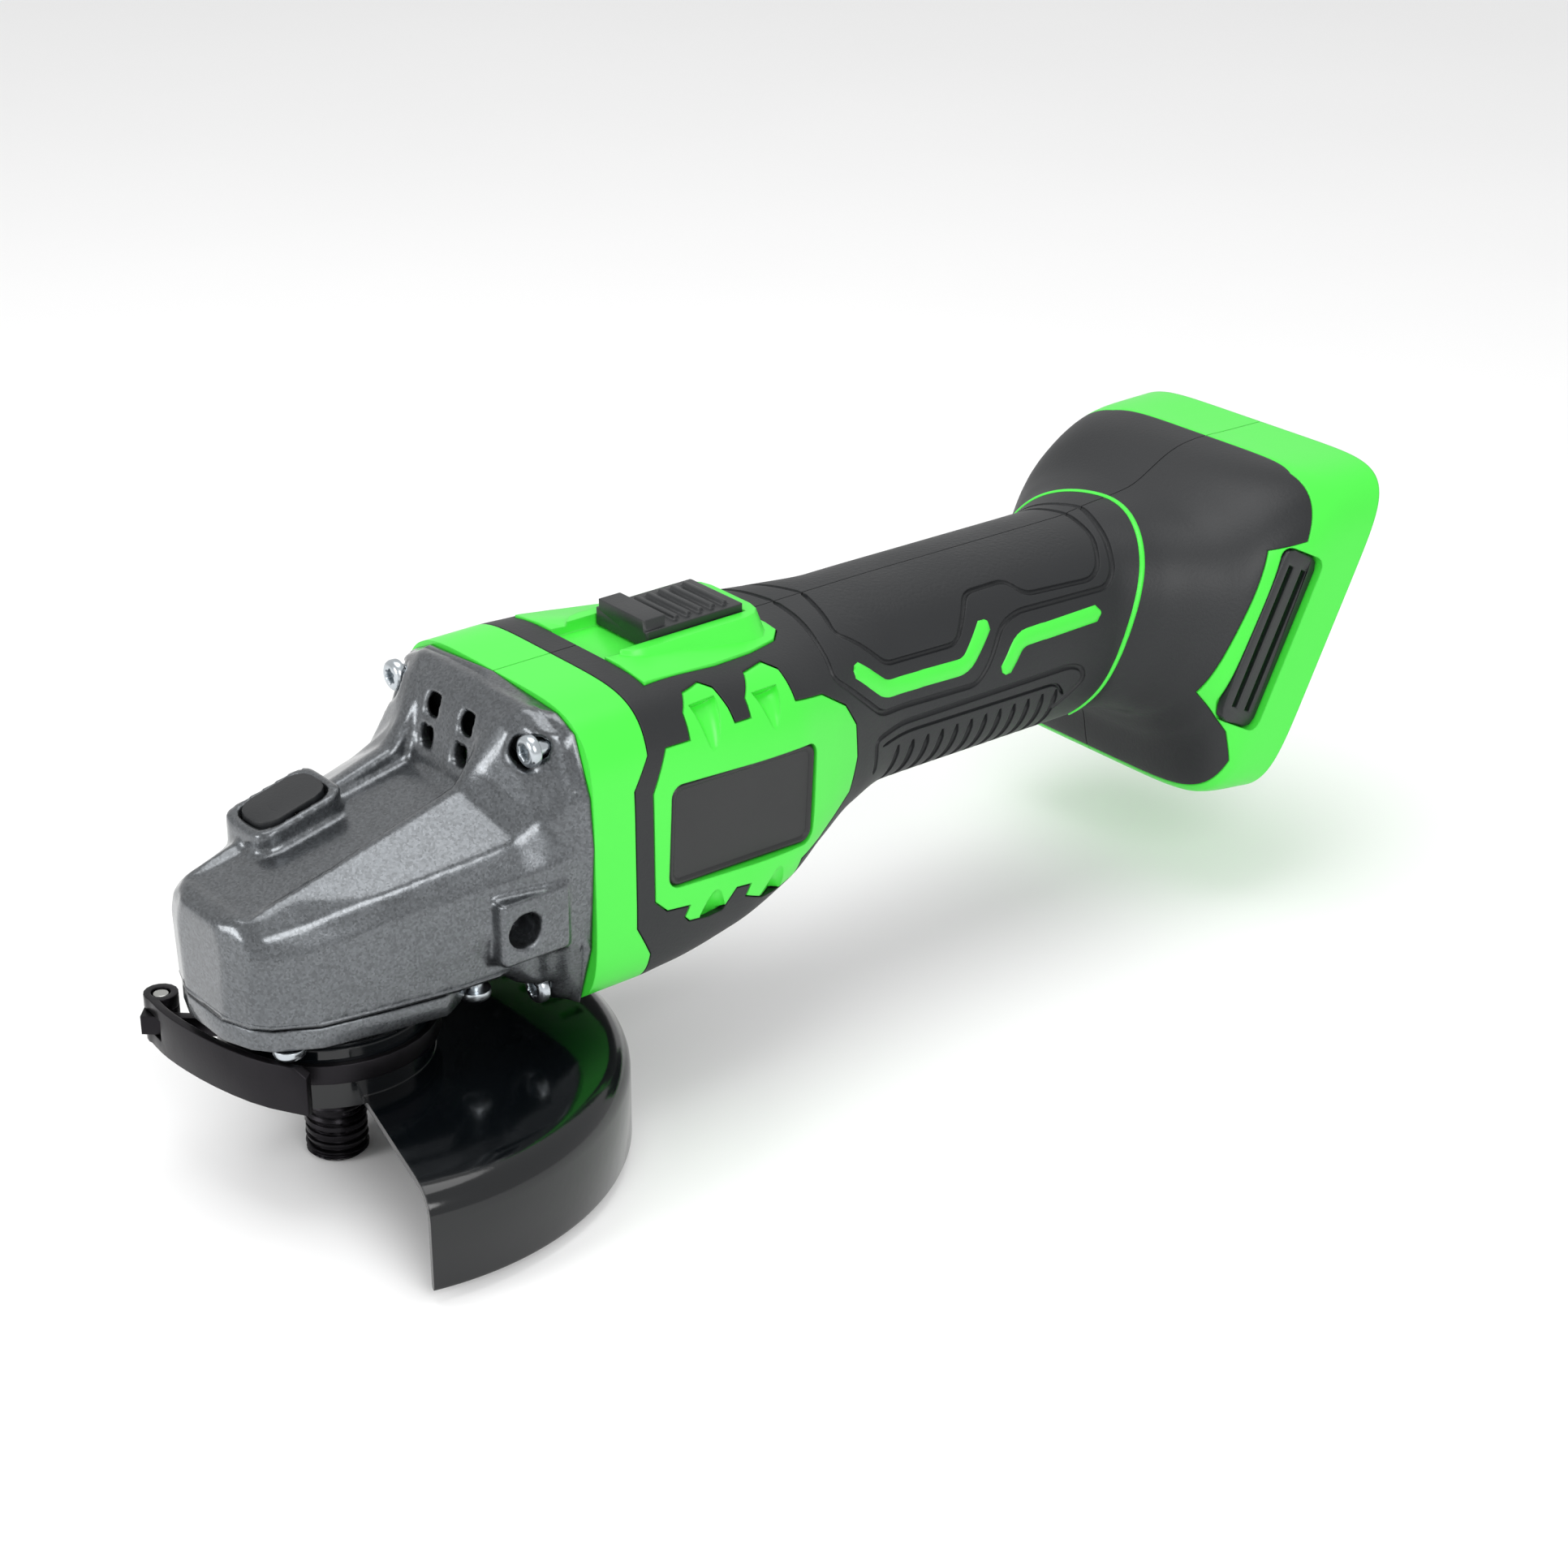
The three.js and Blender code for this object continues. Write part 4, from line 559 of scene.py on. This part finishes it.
def grown(outline, distance):
    """An outline with every point moved outwards."""
    following = outline[1:] + outline[:1]
    area = sum(a[0] * b[1] - b[0] * a[1] for a, b in zip(outline, following))
    turn = math.copysign(distance, area)
    made = []
    for k, (x, y) in enumerate(outline):
        (ax, ay), (bx, by) = outline[k - 1], following[k]
        p = Vector((x - ax, y - ay)).normalized()
        q = Vector((bx - x, by - y)).normalized()
        way = p + q
        way = Vector((way.y, -way.x)).normalized()
        reach = turn / max(0.45, abs(way.dot(Vector((p.y, -p.x)))))
        made.append((x + way.x * reach, y + way.y * reach))
    return made


def flanks(outline, low=18, high=60):
    """A side view outline as one solid on each flank."""
    reaches = [(low, high), (-high, -low)]
    return [prism("tool", outline, *reach, GREEN_ABS, SIDE_VIEW) for reach in reaches]


def laid(tree, points, side, spacing=1.5, radius=2.5):
    """A path laid on the body's surface, with the surface's direction at each point."""
    rough = eased([Vector((x, y * -side, z)) for x, y, z in points], radius)
    fine = []
    for a, b in zip(rough, rough[1:]):
        count = max(1, round((b - a).length / spacing))
        fine += [a.lerp(b, k / count) for k in range(count)]
    hits = [tree.find_nearest(p * MM) for p in fine + [rough[-1]]]
    return [hit[0] / MM for hit in hits], [hit[1] for hit in hits]


def mirrored(points):
    """A path that ends on the middle plane, carried on down the other flank."""
    return points + [(x, -y, z) for x, y, z in reversed(points[:-1])]


def bezel_outline(by):
    """The switch bezel in plan, grown by some mm."""
    half = [(-0.8, 24), (20, 21.8), (32, 19.3), (41, 16.5), (44.5, 13)]
    outline = half + [(x, -y) for x, y in reversed(half)]
    return grown([(BEZEL_X0 + x, y) for x, y in outline], by)


# The shell's screws: x, z, and how far out from the middle the head sits.
SHELL_SCREWS = [(67.5, 37, 21), (67.5, 93.5, 21), (135, 73, 14), (205, 73, 14), (245, 84, 14)]


def sideways_rods(radius, low, high):
    """A round rod across the tool at each shell screw; low and high may be taken from its head's seat."""
    outline = [(radius * math.cos(a), radius * math.sin(a)) for a in round_angles(32)]
    made = []
    for x, z, seat in SHELL_SCREWS:
        place = Matrix.Translation((x, 0, z)) @ Matrix.Rotation(math.radians(-90), 4, "X")
        made.append(prism("tool", outline, low(seat), high(seat), GREEN_ABS, place))
    return made


FAR_OUT = 60  # past the flank of the body


def screw_posts(shell):
    """The posts and wells that the shell's screws go down, from the far flank."""
    rods = sideways_rods(3.2, lambda seat: GAP, lambda seat: seat)
    rods += sideways_rods(5.4, lambda seat: seat - 1.5, lambda seat: FAR_OUT)
    posts = boolean(rods[0], "UNION", *rods[1:])
    posts = boolean(posts, "INTERSECT", body_form("tool", SKIN + GAP + 0.1, GREEN_ABS))
    shell = boolean(shell, "UNION", posts)
    wells = sideways_rods(4.2, lambda seat: seat, lambda seat: FAR_OUT)
    bores = sideways_rods(2.2, lambda seat: -1, lambda seat: seat + 1)
    return boolean(shell, "DIFFERENCE", *wells, *bores)


COLLAR_EDGE = [(30, 20), (61.5, 20), (61.5, 42), (57.3, 50), (57.3, 83), (61.5, 90), (61.5, 115), (30, 115)]
WINDOW_GAP = 0.35  # between the rubber and the hard windows in it
AIR_SLOTS = (-12, -4, 4, 12)
RIB_PITCH, RIB_COUNT, FIRST_RIB_X = 4.6, 12, 142.5
# The hollow flutes in the panel's tabs, each from its wide end to its point.
FLUTES = [
    [(79.6, -33, 99), (79.4, -34, 92), (79, -35, 85.5)],
    [(97.6, -33, 97.5), (97.2, -34, 91), (96.6, -35, 85)],
    [(78, -33, 45.5), (78.6, -34, 49), (79.4, -35, 53)],
    [(96, -33, 44.5), (96.8, -33, 48), (98, -34, 52.5)],
]


def collar_zone():
    """The green collar behind the gear housing."""
    return prism("tool", COLLAR_EDGE, -70, 70, GREEN_ABS, SIDE_VIEW)


def foot_zone(back):
    """The green end of the foot, its edge moved back by a little."""
    outline = [(x + back, y) for x, y in FOOT_LINE] + [(60, -60), (60, 60)]
    return prism("tool", outline, -90, 90, GREEN_ABS, FOOT @ SIDE_VIEW)


def switch_window(low):
    """The hole that the switch bezel sits in, from a height upwards."""
    return prism("tool", bezel_outline(WINDOW_GAP), low, 120, GREEN_ABS)


def rubber_skin(outer):
    """The rubber is the outer skin, less what is green."""
    made = boolean(
        twin(outer, "grip_rubber"), "DIFFERENCE", body_form("tool", SKIN, GREEN_ABS), collar_zone(),
        foot_zone(0), *flanks(grown(PANEL, WINDOW_GAP)), switch_window(84),
    )
    return boolean(made, "DIFFERENCE", *sideways_rods(4.6, lambda seat: 1, lambda seat: FAR_OUT))


def hard_shell(outer):
    """The green shell: an inner form, standing proud at the collar, the panel and the foot."""
    collar = collar_zone()
    collar.data.transform(Matrix.Translation((-GAP * MM, 0, 0)))
    zones = boolean(collar, "UNION", foot_zone(GAP), *flanks(PANEL))
    proud = boolean(twin(outer, "tool"), "INTERSECT", zones)
    hollow = body_form("tool", SKIN + WALL, GREEN_ABS)
    hollow = boolean(hollow, "INTERSECT", brick(0, 226, -90, 90, 0, 140))
    made = boolean(body_form("shell", SKIN + GAP, GREEN_ABS, ahead=0), "UNION", proud)
    battery_mouth = brick(-15, 5, -35, 35, -31, 31, FOOT)
    battery_way_in = brick(-9, 5, -29, 29, -50, -30, FOOT)
    wire_way = brick(-60, -14, -12, 12, 2, 20, FOOT)
    stem_way = brick(70, 112, -11, 11, 80, 120)
    openings = [hollow, battery_mouth, battery_way_in, wire_way, switch_window(94.5), stem_way]
    made = boolean(made, "DIFFERENCE", *openings)
    made = boolean(made, "DIFFERENCE", *[brick(53, 59, y - 1.5, y + 1.5, 20, 39) for y in AIR_SLOTS])
    return screw_posts(made)


def flute(surface, points, side):
    """A hollow that starts wide and runs out to a point."""
    widest, narrowest, depth = 3.9, 0.25, 0.75
    path, normals = laid(surface, points, side)
    rings = []
    for k, (point, way) in enumerate(zip(path, normals)):
        size = widest * (1 - k / (len(path) - 1)) ** 0.6 + narrowest
        ahead = (path[min(k + 1, len(path) - 1)] - path[max(k - 1, 0)]).normalized()
        across = ahead.cross(way).normalized()
        middle = point + way * 0.6
        rings.append(
            [
                middle + across * size * math.cos(a) + way * size * depth * math.sin(a)
                for a in round_angles(16)
            ]
        )
    return loft("tool", rings, GREEN_ABS)


def cut_panels(shell, surface):
    """The flutes in the panel's tabs, and the pockets of the plates and grilles."""
    for side in (-1, 1):
        hollows = [flute(surface, points, side) for points in FLUTES]
        shell = boolean(shell, "DIFFERENCE", *hollows, plate_pocket(side), grille_pocket(side))
    return shell


def cut_grip(rubber, surface):
    """The grooves round the pads and the ribs under the grip."""
    groove_depth = 0.8
    lines = []
    for side in (-1, 1):
        lines += [(LOWER_LINE, side, 0.8), (LOWER_INNER, side, 0.5)]
    lines += [(mirrored(PAD_LINE), -1, 0.7), (mirrored(SHOULDER_LINE), -1, 0.8)]
    for points, side, width in lines:
        path, normals = laid(surface, points, side)
        groove = bar("tool", path, normals, width, groove_depth, GREEN_ABS)
        rubber = boolean(rubber, "DIFFERENCE", groove)
    for k in range(RIB_COUNT):
        x = FIRST_RIB_X + RIB_PITCH * k
        rib = [(x, -24.5, 64.6), (x, -24, 60), (x, -20, 53), (x, -11, 48.6), (x, 0, 48)]
        path, normals = laid(surface, mirrored(rib), -1, 2.0, 4)
        rubber = boolean(rubber, "DIFFERENCE", bar("tool", path, normals, 1.0, 1.1, GREEN_ABS))
    return rubber


def let_in(surface, points, side, radius, sunk, half_width, half_height, sides):
    """A hard green strip let into the rubber, sunk by a part of its thickness."""
    path, normals = laid(surface, points, side, 1.2, radius)
    path = [point - way * sunk for point, way in zip(path, normals)]
    return bar("stripe", path, normals, half_width, half_height, GREEN_ABS, sides)


def build_body():
    """The two halves of shell and rubber, and the strips let into the rubber."""
    outer = body_form("outer", 0, TPE_RUBBER)
    surface = BVHTree.FromObject(outer, bpy.context.evaluated_depsgraph_get())
    rubber = cut_grip(rubber_skin(outer), surface)
    shell = cut_panels(hard_shell(outer), surface)
    stripes = []
    for side in (-1, 1):
        stripes += [let_in(surface, points, side, 2.5, 0.5, 2.35, 0.95, 16) for points in STRIPES]
    stripes.append(let_in(surface, mirrored(TAIL_RING), -1, 6, 0.3, 0.8, 0.7, 10))
    bpy.data.objects.remove(outer)

    split = 0.12  # half the gap between the two halves
    for side, name in ((-1, "left"), (1, "right")):
        halves = ((shell, "shell", "green_plastic"), (rubber, "grip_rubber", "black_rubber"))
        for whole, base, slot in halves:
            part = twin(whole, f"{base}_{name}_form")
            low, high = (split, 90) if side > 0 else (-90, -split)
            boolean(part, "INTERSECT", brick(0, 330, low, high, -10, 150))
            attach(soften(part), "housing")
            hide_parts(f"{base}_{name}")
            if part.name == "grip_rubber_left_form":
                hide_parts("grip_pad")
    for whole in (shell, rubber):
        bpy.data.objects.remove(whole)
    for k, part in enumerate(stripes):
        part.name = f"grip_stripe_{k + 1}"
        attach(soften(part, 60), "housing")


def plate_place(side):
    """The name plate's place, turned with the body's side."""
    bed = BODY_W - 3.4
    place = Matrix.Translation((PLATE_AT[0], side * bed, PLATE_AT[1]))
    place = place @ Matrix.Rotation(math.radians(-PLATE_LEAN * side), 4, "Z")
    place = place @ Matrix.Rotation(math.radians(-90 * side), 4, "X")
    return place @ Matrix.Rotation(math.radians(PLATE_LEAN * side), 4, "Z")


def plate_pocket(side):
    """The bed of the name plate, a little larger than the plate."""
    outline = rounded(PLATE_HALF[0] + GAP, PLATE_HALF[1] + GAP, 3)
    return prism("tool", outline, -GAP, POCKET_TOP, GREEN_ABS, plate_place(side))


def grille_pocket(side):
    """The bed of the foot's grille."""
    place = FOOT @ Matrix.Translation((GRILLE_AT[0], side * (FOOT_W - 4.6), GRILLE_AT[1]))
    place = place @ Matrix.Rotation(math.radians(-90 * side), 4, "X")
    outline = rounded(GRILLE_HALF[0] + GAP, GRILLE_HALF[1] + GAP, 3)
    return prism("tool", outline, -GAP, POCKET_TOP, GREEN_ABS, place)


def name_plate(side, name):
    """A charcoal plate with a raised rim and a sunk, plain face."""
    place = plate_place(side)
    rings = []
    rim = [(0, 0), (0, 1.6), (0.4, 2.0), (0.9, 2.0), (1.5, 1.6), (1.5, 1.55)]
    for inset, up in rim:
        outline = rounded(PLATE_HALF[0] - inset, PLATE_HALF[1] - inset, 3 - inset * 0.8)
        rings.append([place @ Vector((x, y, up)) for x, y in outline])
    made = soften(loft(name + "_form", rings, PLATE_BLACK), 20)
    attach(made, "housing")
    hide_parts(name)


LOCK_TRAVEL = 4  # how far the spindle lock's button goes down


def gear_housing_form():
    """The casting with its edges run soft, as lacquered castings are."""
    made = merged_copy("gear_housing", "gear_housing_form", CAST_LACQUER)
    grid = made.modifiers.new("cast", "REMESH")
    grid.mode = "VOXEL"
    grid.voxel_size = 0.8 * MM
    calm = made.modifiers.new("run_soft", "SMOOTH")
    calm.factor = 0.5
    calm.iterations = 4
    settle(made)
    made.data.materials.clear()
    made.data.materials.append(CAST_LACQUER)
    collar_seam = brick(43.4, 50, -50, 50, 0, 120)
    cover_seam = brick(-40, 27, -50, 50, 45.9, 47.4)
    for room in (collar_seam, cover_seam):
        rim = boolean(merged_copy("gear_housing", "tool", CAST_LACQUER), "INTERSECT", room)
        made = boolean(made, "UNION", rim)
    low, high = (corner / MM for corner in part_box("lock_button"))
    half, room = (high - low) / 2, 0.4
    pocket = rounded(half.x + room, half.y + room, 3)
    place = Matrix.Translation(((low.x + high.x) / 2, (low.y + high.y) / 2, 0))
    well = prism("tool", pocket, low.z - LOCK_TRAVEL - room, high.z + 6, CAST_LACQUER, place)
    made = boolean(made, "DIFFERENCE", well)
    soften(made, 50)
    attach(made, "housing")
    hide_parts("gear_housing")


def eased_node(node, body, paint, slot, edge_mm):
    """A small piece of the frame with its outer edges rounded and its bends running smoothly."""
    made = merged_copy(node, node + "_form", paint)
    round_off = made.modifiers.new("round_off", "BEVEL")
    round_off.width = edge_mm * MM
    round_off.segments = 3
    round_off.limit_method = "ANGLE"
    round_off.angle_limit = math.radians(40)
    round_off.use_clamp_overlap = True
    settle(made)
    soften(made, 35)
    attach(made, body)
    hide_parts(node)


def return_spring():
    """The lock's return spring, a smoothly shaded copy of its CAD node with a mesh of its own."""
    made = merged_copy("lock_spring", "lock_spring_form", TURNED_STEEL)
    soften(made, 40)
    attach(made, "housing")
    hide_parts("lock_spring")
    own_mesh(made)


def swung(profile, angles):
    """A profile of radius and height, turned to each angle about the spindle."""
    return [[Vector((r * math.cos(a), r * math.sin(a), h)) for r, h in profile] for a in angles]


def guard_form():
    """The pressed guard: a drawn hood with a rolled rim, and its collar."""
    inner, outer, collar_top = 20.7, 22.7, 38
    r, t, z = 65.0, 1.6, 25.2  # the hood's radius, thickness and top
    hood = [(inner + 0.2, z - t), (r - 8, z - t - 0.2)]
    for a in [k * math.pi / 12 for k in range(7)]:
        hood.append((r - 6.6 + 5 * math.sin(a), z - t - 5.2 + 5 * math.cos(a)))
    hood += [(r - t, 6), (r - t, 3.2), (r - t + 0.25, 2.5), (r - 0.8, 2.26), (r - 0.25, 2.5), (r, 3.2)]
    hood += [(r, z - 6.6)]
    for a in [k * math.pi / 16 for k in range(1, 8)]:
        hood.append((r - 6.6 + 6.6 * math.cos(a), z - 6.6 + 6.4 * math.sin(a)))
    hood += [(r - 9, z), (outer - 0.2, z + 0.2), (inner + 0.2, z + 0.2)]
    start, sweep, steps = -104.5, 185, 150  # in degrees about the spindle
    angles = [math.radians(start + sweep * k / steps) for k in range(steps + 1)]
    made = loft("guard_form", swung(hood, angles), POWDER_COAT)
    sleeve = [(inner, z - t), (outer, z - t), (outer, collar_top - 0.4)]
    sleeve += [(outer - 0.4, collar_top), (inner + 0.4, collar_top), (inner, collar_top - 0.4)]
    ring = loft("tool", swung(sleeve, round_angles(120)), POWDER_COAT, closed=True)
    made = boolean(made, "UNION", ring)
    towards = Matrix.Rotation(math.atan2(24.5, -27), 4, "Z")  # to the clamp's pivot
    made = boolean(made, "DIFFERENCE", brick(inner - 3, outer + 3, -1.5, 1.5, 0, 60, towards))
    soften(made, 35)
    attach(made, "guard")
    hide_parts("guard")


def geometry_tree(name, sizes, **objects):
    """A geometry node tree with named inputs; returns it with its input node."""
    tree = bpy.data.node_groups.new(name, "GeometryNodeTree")
    tree.interface.new_socket("Geometry", in_out="INPUT", socket_type="NodeSocketGeometry")
    for label, value in sizes.items():
        made = tree.interface.new_socket(label, in_out="INPUT", socket_type="NodeSocketFloat")
        made.default_value = value
    for label in objects:
        tree.interface.new_socket(label, in_out="INPUT", socket_type="NodeSocketObject")
    tree.interface.new_socket("Geometry", in_out="OUTPUT", socket_type="NodeSocketGeometry")
    return tree, tree.nodes.new("NodeGroupInput").outputs


def grow(name, tree, points, values, paint):
    """Runs a tree on some points and leaves the result as a plain mesh."""
    made = piece(name, [Vector(p) * MM for p in points], [], paint)
    step = made.modifiers.new("grow", "NODES")
    step.node_group = tree
    for item in tree.interface.items_tree:
        if item.item_type == "SOCKET" and item.in_out == "INPUT" and item.name in values:
            step[item.identifier] = values[item.name]
    settle(made)
    return made


def finish_tree(tree, geometry, paint):
    """Makes what the tree grew real, gives it its finish and sends it out."""
    real = put(tree, "GeometryNodeRealizeInstances", None, {"Geometry": geometry})
    solid = {"Geometry": real.outputs["Geometry"]}
    coated = put(tree, "GeometryNodeSetMaterial", {"Material": paint}, solid)
    put(tree, "NodeGroupOutput", None, {"Geometry": coated.outputs["Geometry"]})


def thread_tree():
    """The ridge of a screw thread: a small diamond swept along a rising coil."""
    sizes = {"Pitch radius": 6.25 * MM, "Turns": 5.3, "Length": 10.6 * MM, "Ridge": 0.74 * MM}
    tree, given = geometry_tree("thread_ridge", sizes)
    size = {"Rotations": given["Turns"], "Height": given["Length"]}
    size["Start Radius"] = size["End Radius"] = given["Pitch radius"]
    coil = put(tree, "GeometryNodeCurveSpiral", {"Resolution": 48}, size)
    ridge = put(tree, "GeometryNodeCurvePrimitiveCircle", {"Resolution": 4}, {"Radius": given["Ridge"]})
    swept = put(
        tree, "GeometryNodeCurveToMesh", {"Fill Caps": True},
        {"Curve": coil.outputs["Curve"], "Profile Curve": ridge.outputs["Curve"]},
    )
    finish_tree(tree, swept.outputs["Mesh"], BLACK_OXIDE)
    return tree


def spindle_form():
    """The spindle with its M14 thread cut for real, 2 mm from ridge to ridge."""
    core = merged_copy("spindle", "spindle_form", BLACK_OXIDE)
    root, bottom, top = 6.1, 0.9, 12.6  # the thread's root radius, and where it starts and ends
    relief = swung([(root, bottom), (9, bottom), (9, top), (root, top)], round_angles(64))
    made = boolean(core, "DIFFERENCE", loft("tool", relief, BLACK_OXIDE, closed=True))
    ridge = grow("tool", thread_tree(), [(0, 0, 0)], {}, BLACK_OXIDE)
    ridge.data.transform(Matrix.Translation((0, 0, (bottom + 0.5) * MM)))
    made = boolean(made, "UNION", face_out(ridge))
    soften(made, 30)
    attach(made, "spindle")
    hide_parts("spindle")


SCREW_SHANK, HEAD_HEIGHT = 1.9, 2.4  # the shank's radius, and how far a head stands off its seat


def screw_ring(radius, z, lobes=0.0):
    """A ring of the screw's head, round or with six lobes."""
    points = []
    for a in round_angles(48):
        reach = radius * (1 + lobes * math.cos(6 * a))
        points.append(Vector((reach * math.cos(a), reach * math.sin(a), z)))
    return points


def screw_blank(shank, length):
    """A pan head with a six-lobed recess, its shank behind it, head outwards along +Z from z = 0."""
    head = [(3.5, 0), (3.55, 0.3), (3.55, 1.3), (3.3, 1.9), (2.8, 2.25), (2.3, 2.38)]
    recess = [(1.75, 2.38), (1.65, 2.2), (1.6, 0.7)]
    rings = [screw_ring(radius, z) for radius, z in [(shank, -length), (shank, 0)] + head]
    rings += [screw_ring(radius, z, 0.13) for radius, z in recess]
    return loft("tool", rings, ZINC_PLATE)


def screw_tree():
    """A screw stood on every point."""
    tree, given = geometry_tree("screws_on_points", {"Size": 1.0}, Screw=None)
    shape_of = put(tree, "GeometryNodeObjectInfo", {"As Instance": True}, {"Object": given["Screw"]})
    size = put(tree, "ShaderNodeCombineXYZ", None, {axis: given["Size"] for axis in "XYZ"})
    fed = {"Points": given["Geometry"], "Instance": shape_of.outputs["Geometry"]}
    fed["Scale"] = size.outputs["Vector"]
    stood = put(tree, "GeometryNodeInstanceOnPoints", None, fed)
    finish_tree(tree, stood.outputs["Instances"], ZINC_PLATE)
    return tree


def screw_forms():
    """The collar's and the cover's lobed screws."""
    tree = screw_tree()
    backwards = Matrix.Rotation(math.radians(-90), 4, "Y")
    downwards = Matrix.Rotation(math.radians(180), 4, "X")
    for name, axis, turn, length in (("collar_screw", 0, backwards, 16), ("cover_screw", 2, downwards, 8)):
        blank = screw_blank(SCREW_SHANK, length)
        blank.data.transform(turn)
        nodes = [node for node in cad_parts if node.startswith(name)]
        places = []
        for node in nodes:
            low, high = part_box(node)
            seat = (low + high) / 2 / MM
            seat[axis] = low[axis] / MM + HEAD_HEIGHT
            places.append(seat)
        made = grow(name + "_forms", tree, places, {"Screw": blank}, ZINC_PLATE)
        bpy.data.objects.remove(blank)
        soften(made, 35)
        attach(made, "housing")
        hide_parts(*nodes)


# ---------------------------------------------------------------- light and floor
def light_room():
    """An even white room, three round softboxes and a white floor."""
    scene = bpy.context.scene
    scene.view_settings.view_transform = "Standard"
    world = bpy.data.worlds.new("studio")
    scene.world = world
    world.use_nodes = True
    glow = world.node_tree.nodes["Background"]
    glow.inputs["Color"].default_value = (1, 1, 1, 1)
    glow.inputs["Strength"].default_value = 0.8
    lamps = [
        ("near_softbox", (-0.15, -0.75, 0.55), 0.5, 3.4),
        ("top_softbox", (0.1, 0.1, 0.9), 0.7, 3.0),
        ("nose_softbox", (-0.8, 0.1, 0.35), 0.4, 2.6),
    ]
    for name, place, size, power in lamps:
        lamp = bpy.data.lights.new(name, "AREA")
        lamp.shape = "DISK"
        lamp.size = size
        lamp.energy = power
        holder = bpy.data.objects.new(name, lamp)
        scene.collection.objects.link(holder)
        holder.location = place
        aim = Vector((0.1, 0, 0.05)) - Vector(place)
        holder.rotation_euler = aim.to_track_quat("-Z", "Y").to_euler()
    reach = 4000
    prism("studio_floor", rounded(reach, reach, 100), -3.5, -0.5, STUDIO_PAPER)


place_camera()
dress_frame()
light_room()
build_body()
for flank_side, plate in ((-1, "name_plate_left"), (1, "name_plate_right")):
    name_plate(flank_side, plate)
gear_housing_form()
guard_form()
spindle_form()
screw_forms()
for eased_piece in (
    ("gearbox_cover", "housing", CAST_LACQUER, "cast_housing", 0.5),
    ("switch_bezel", "housing", GREEN_ABS, "green_plastic", 0.7),
    ("switch_slider", "slider", GLASS_NYLON, "black_plastic", 0.45),
    ("lock_button", "lock", TPE_RUBBER, "black_plastic", 0.7),
    ("guard_lever", "lever", BLACK_OXIDE, "black_steel", 0.7),
    ("guard_clamp_band", "guard", BLACK_OXIDE, "black_steel", 0.3),
    ("lever_pin", "guard", TURNED_STEEL, "bare_steel", 0.3),
    ("foot_grille_left", "housing", GLASS_NYLON, "black_plastic", 0.35),
    ("foot_grille_right", "housing", GLASS_NYLON, "black_plastic", 0.35),
):
    eased_node(*eased_piece)
return_spring()

bpy.context.view_layer.update()
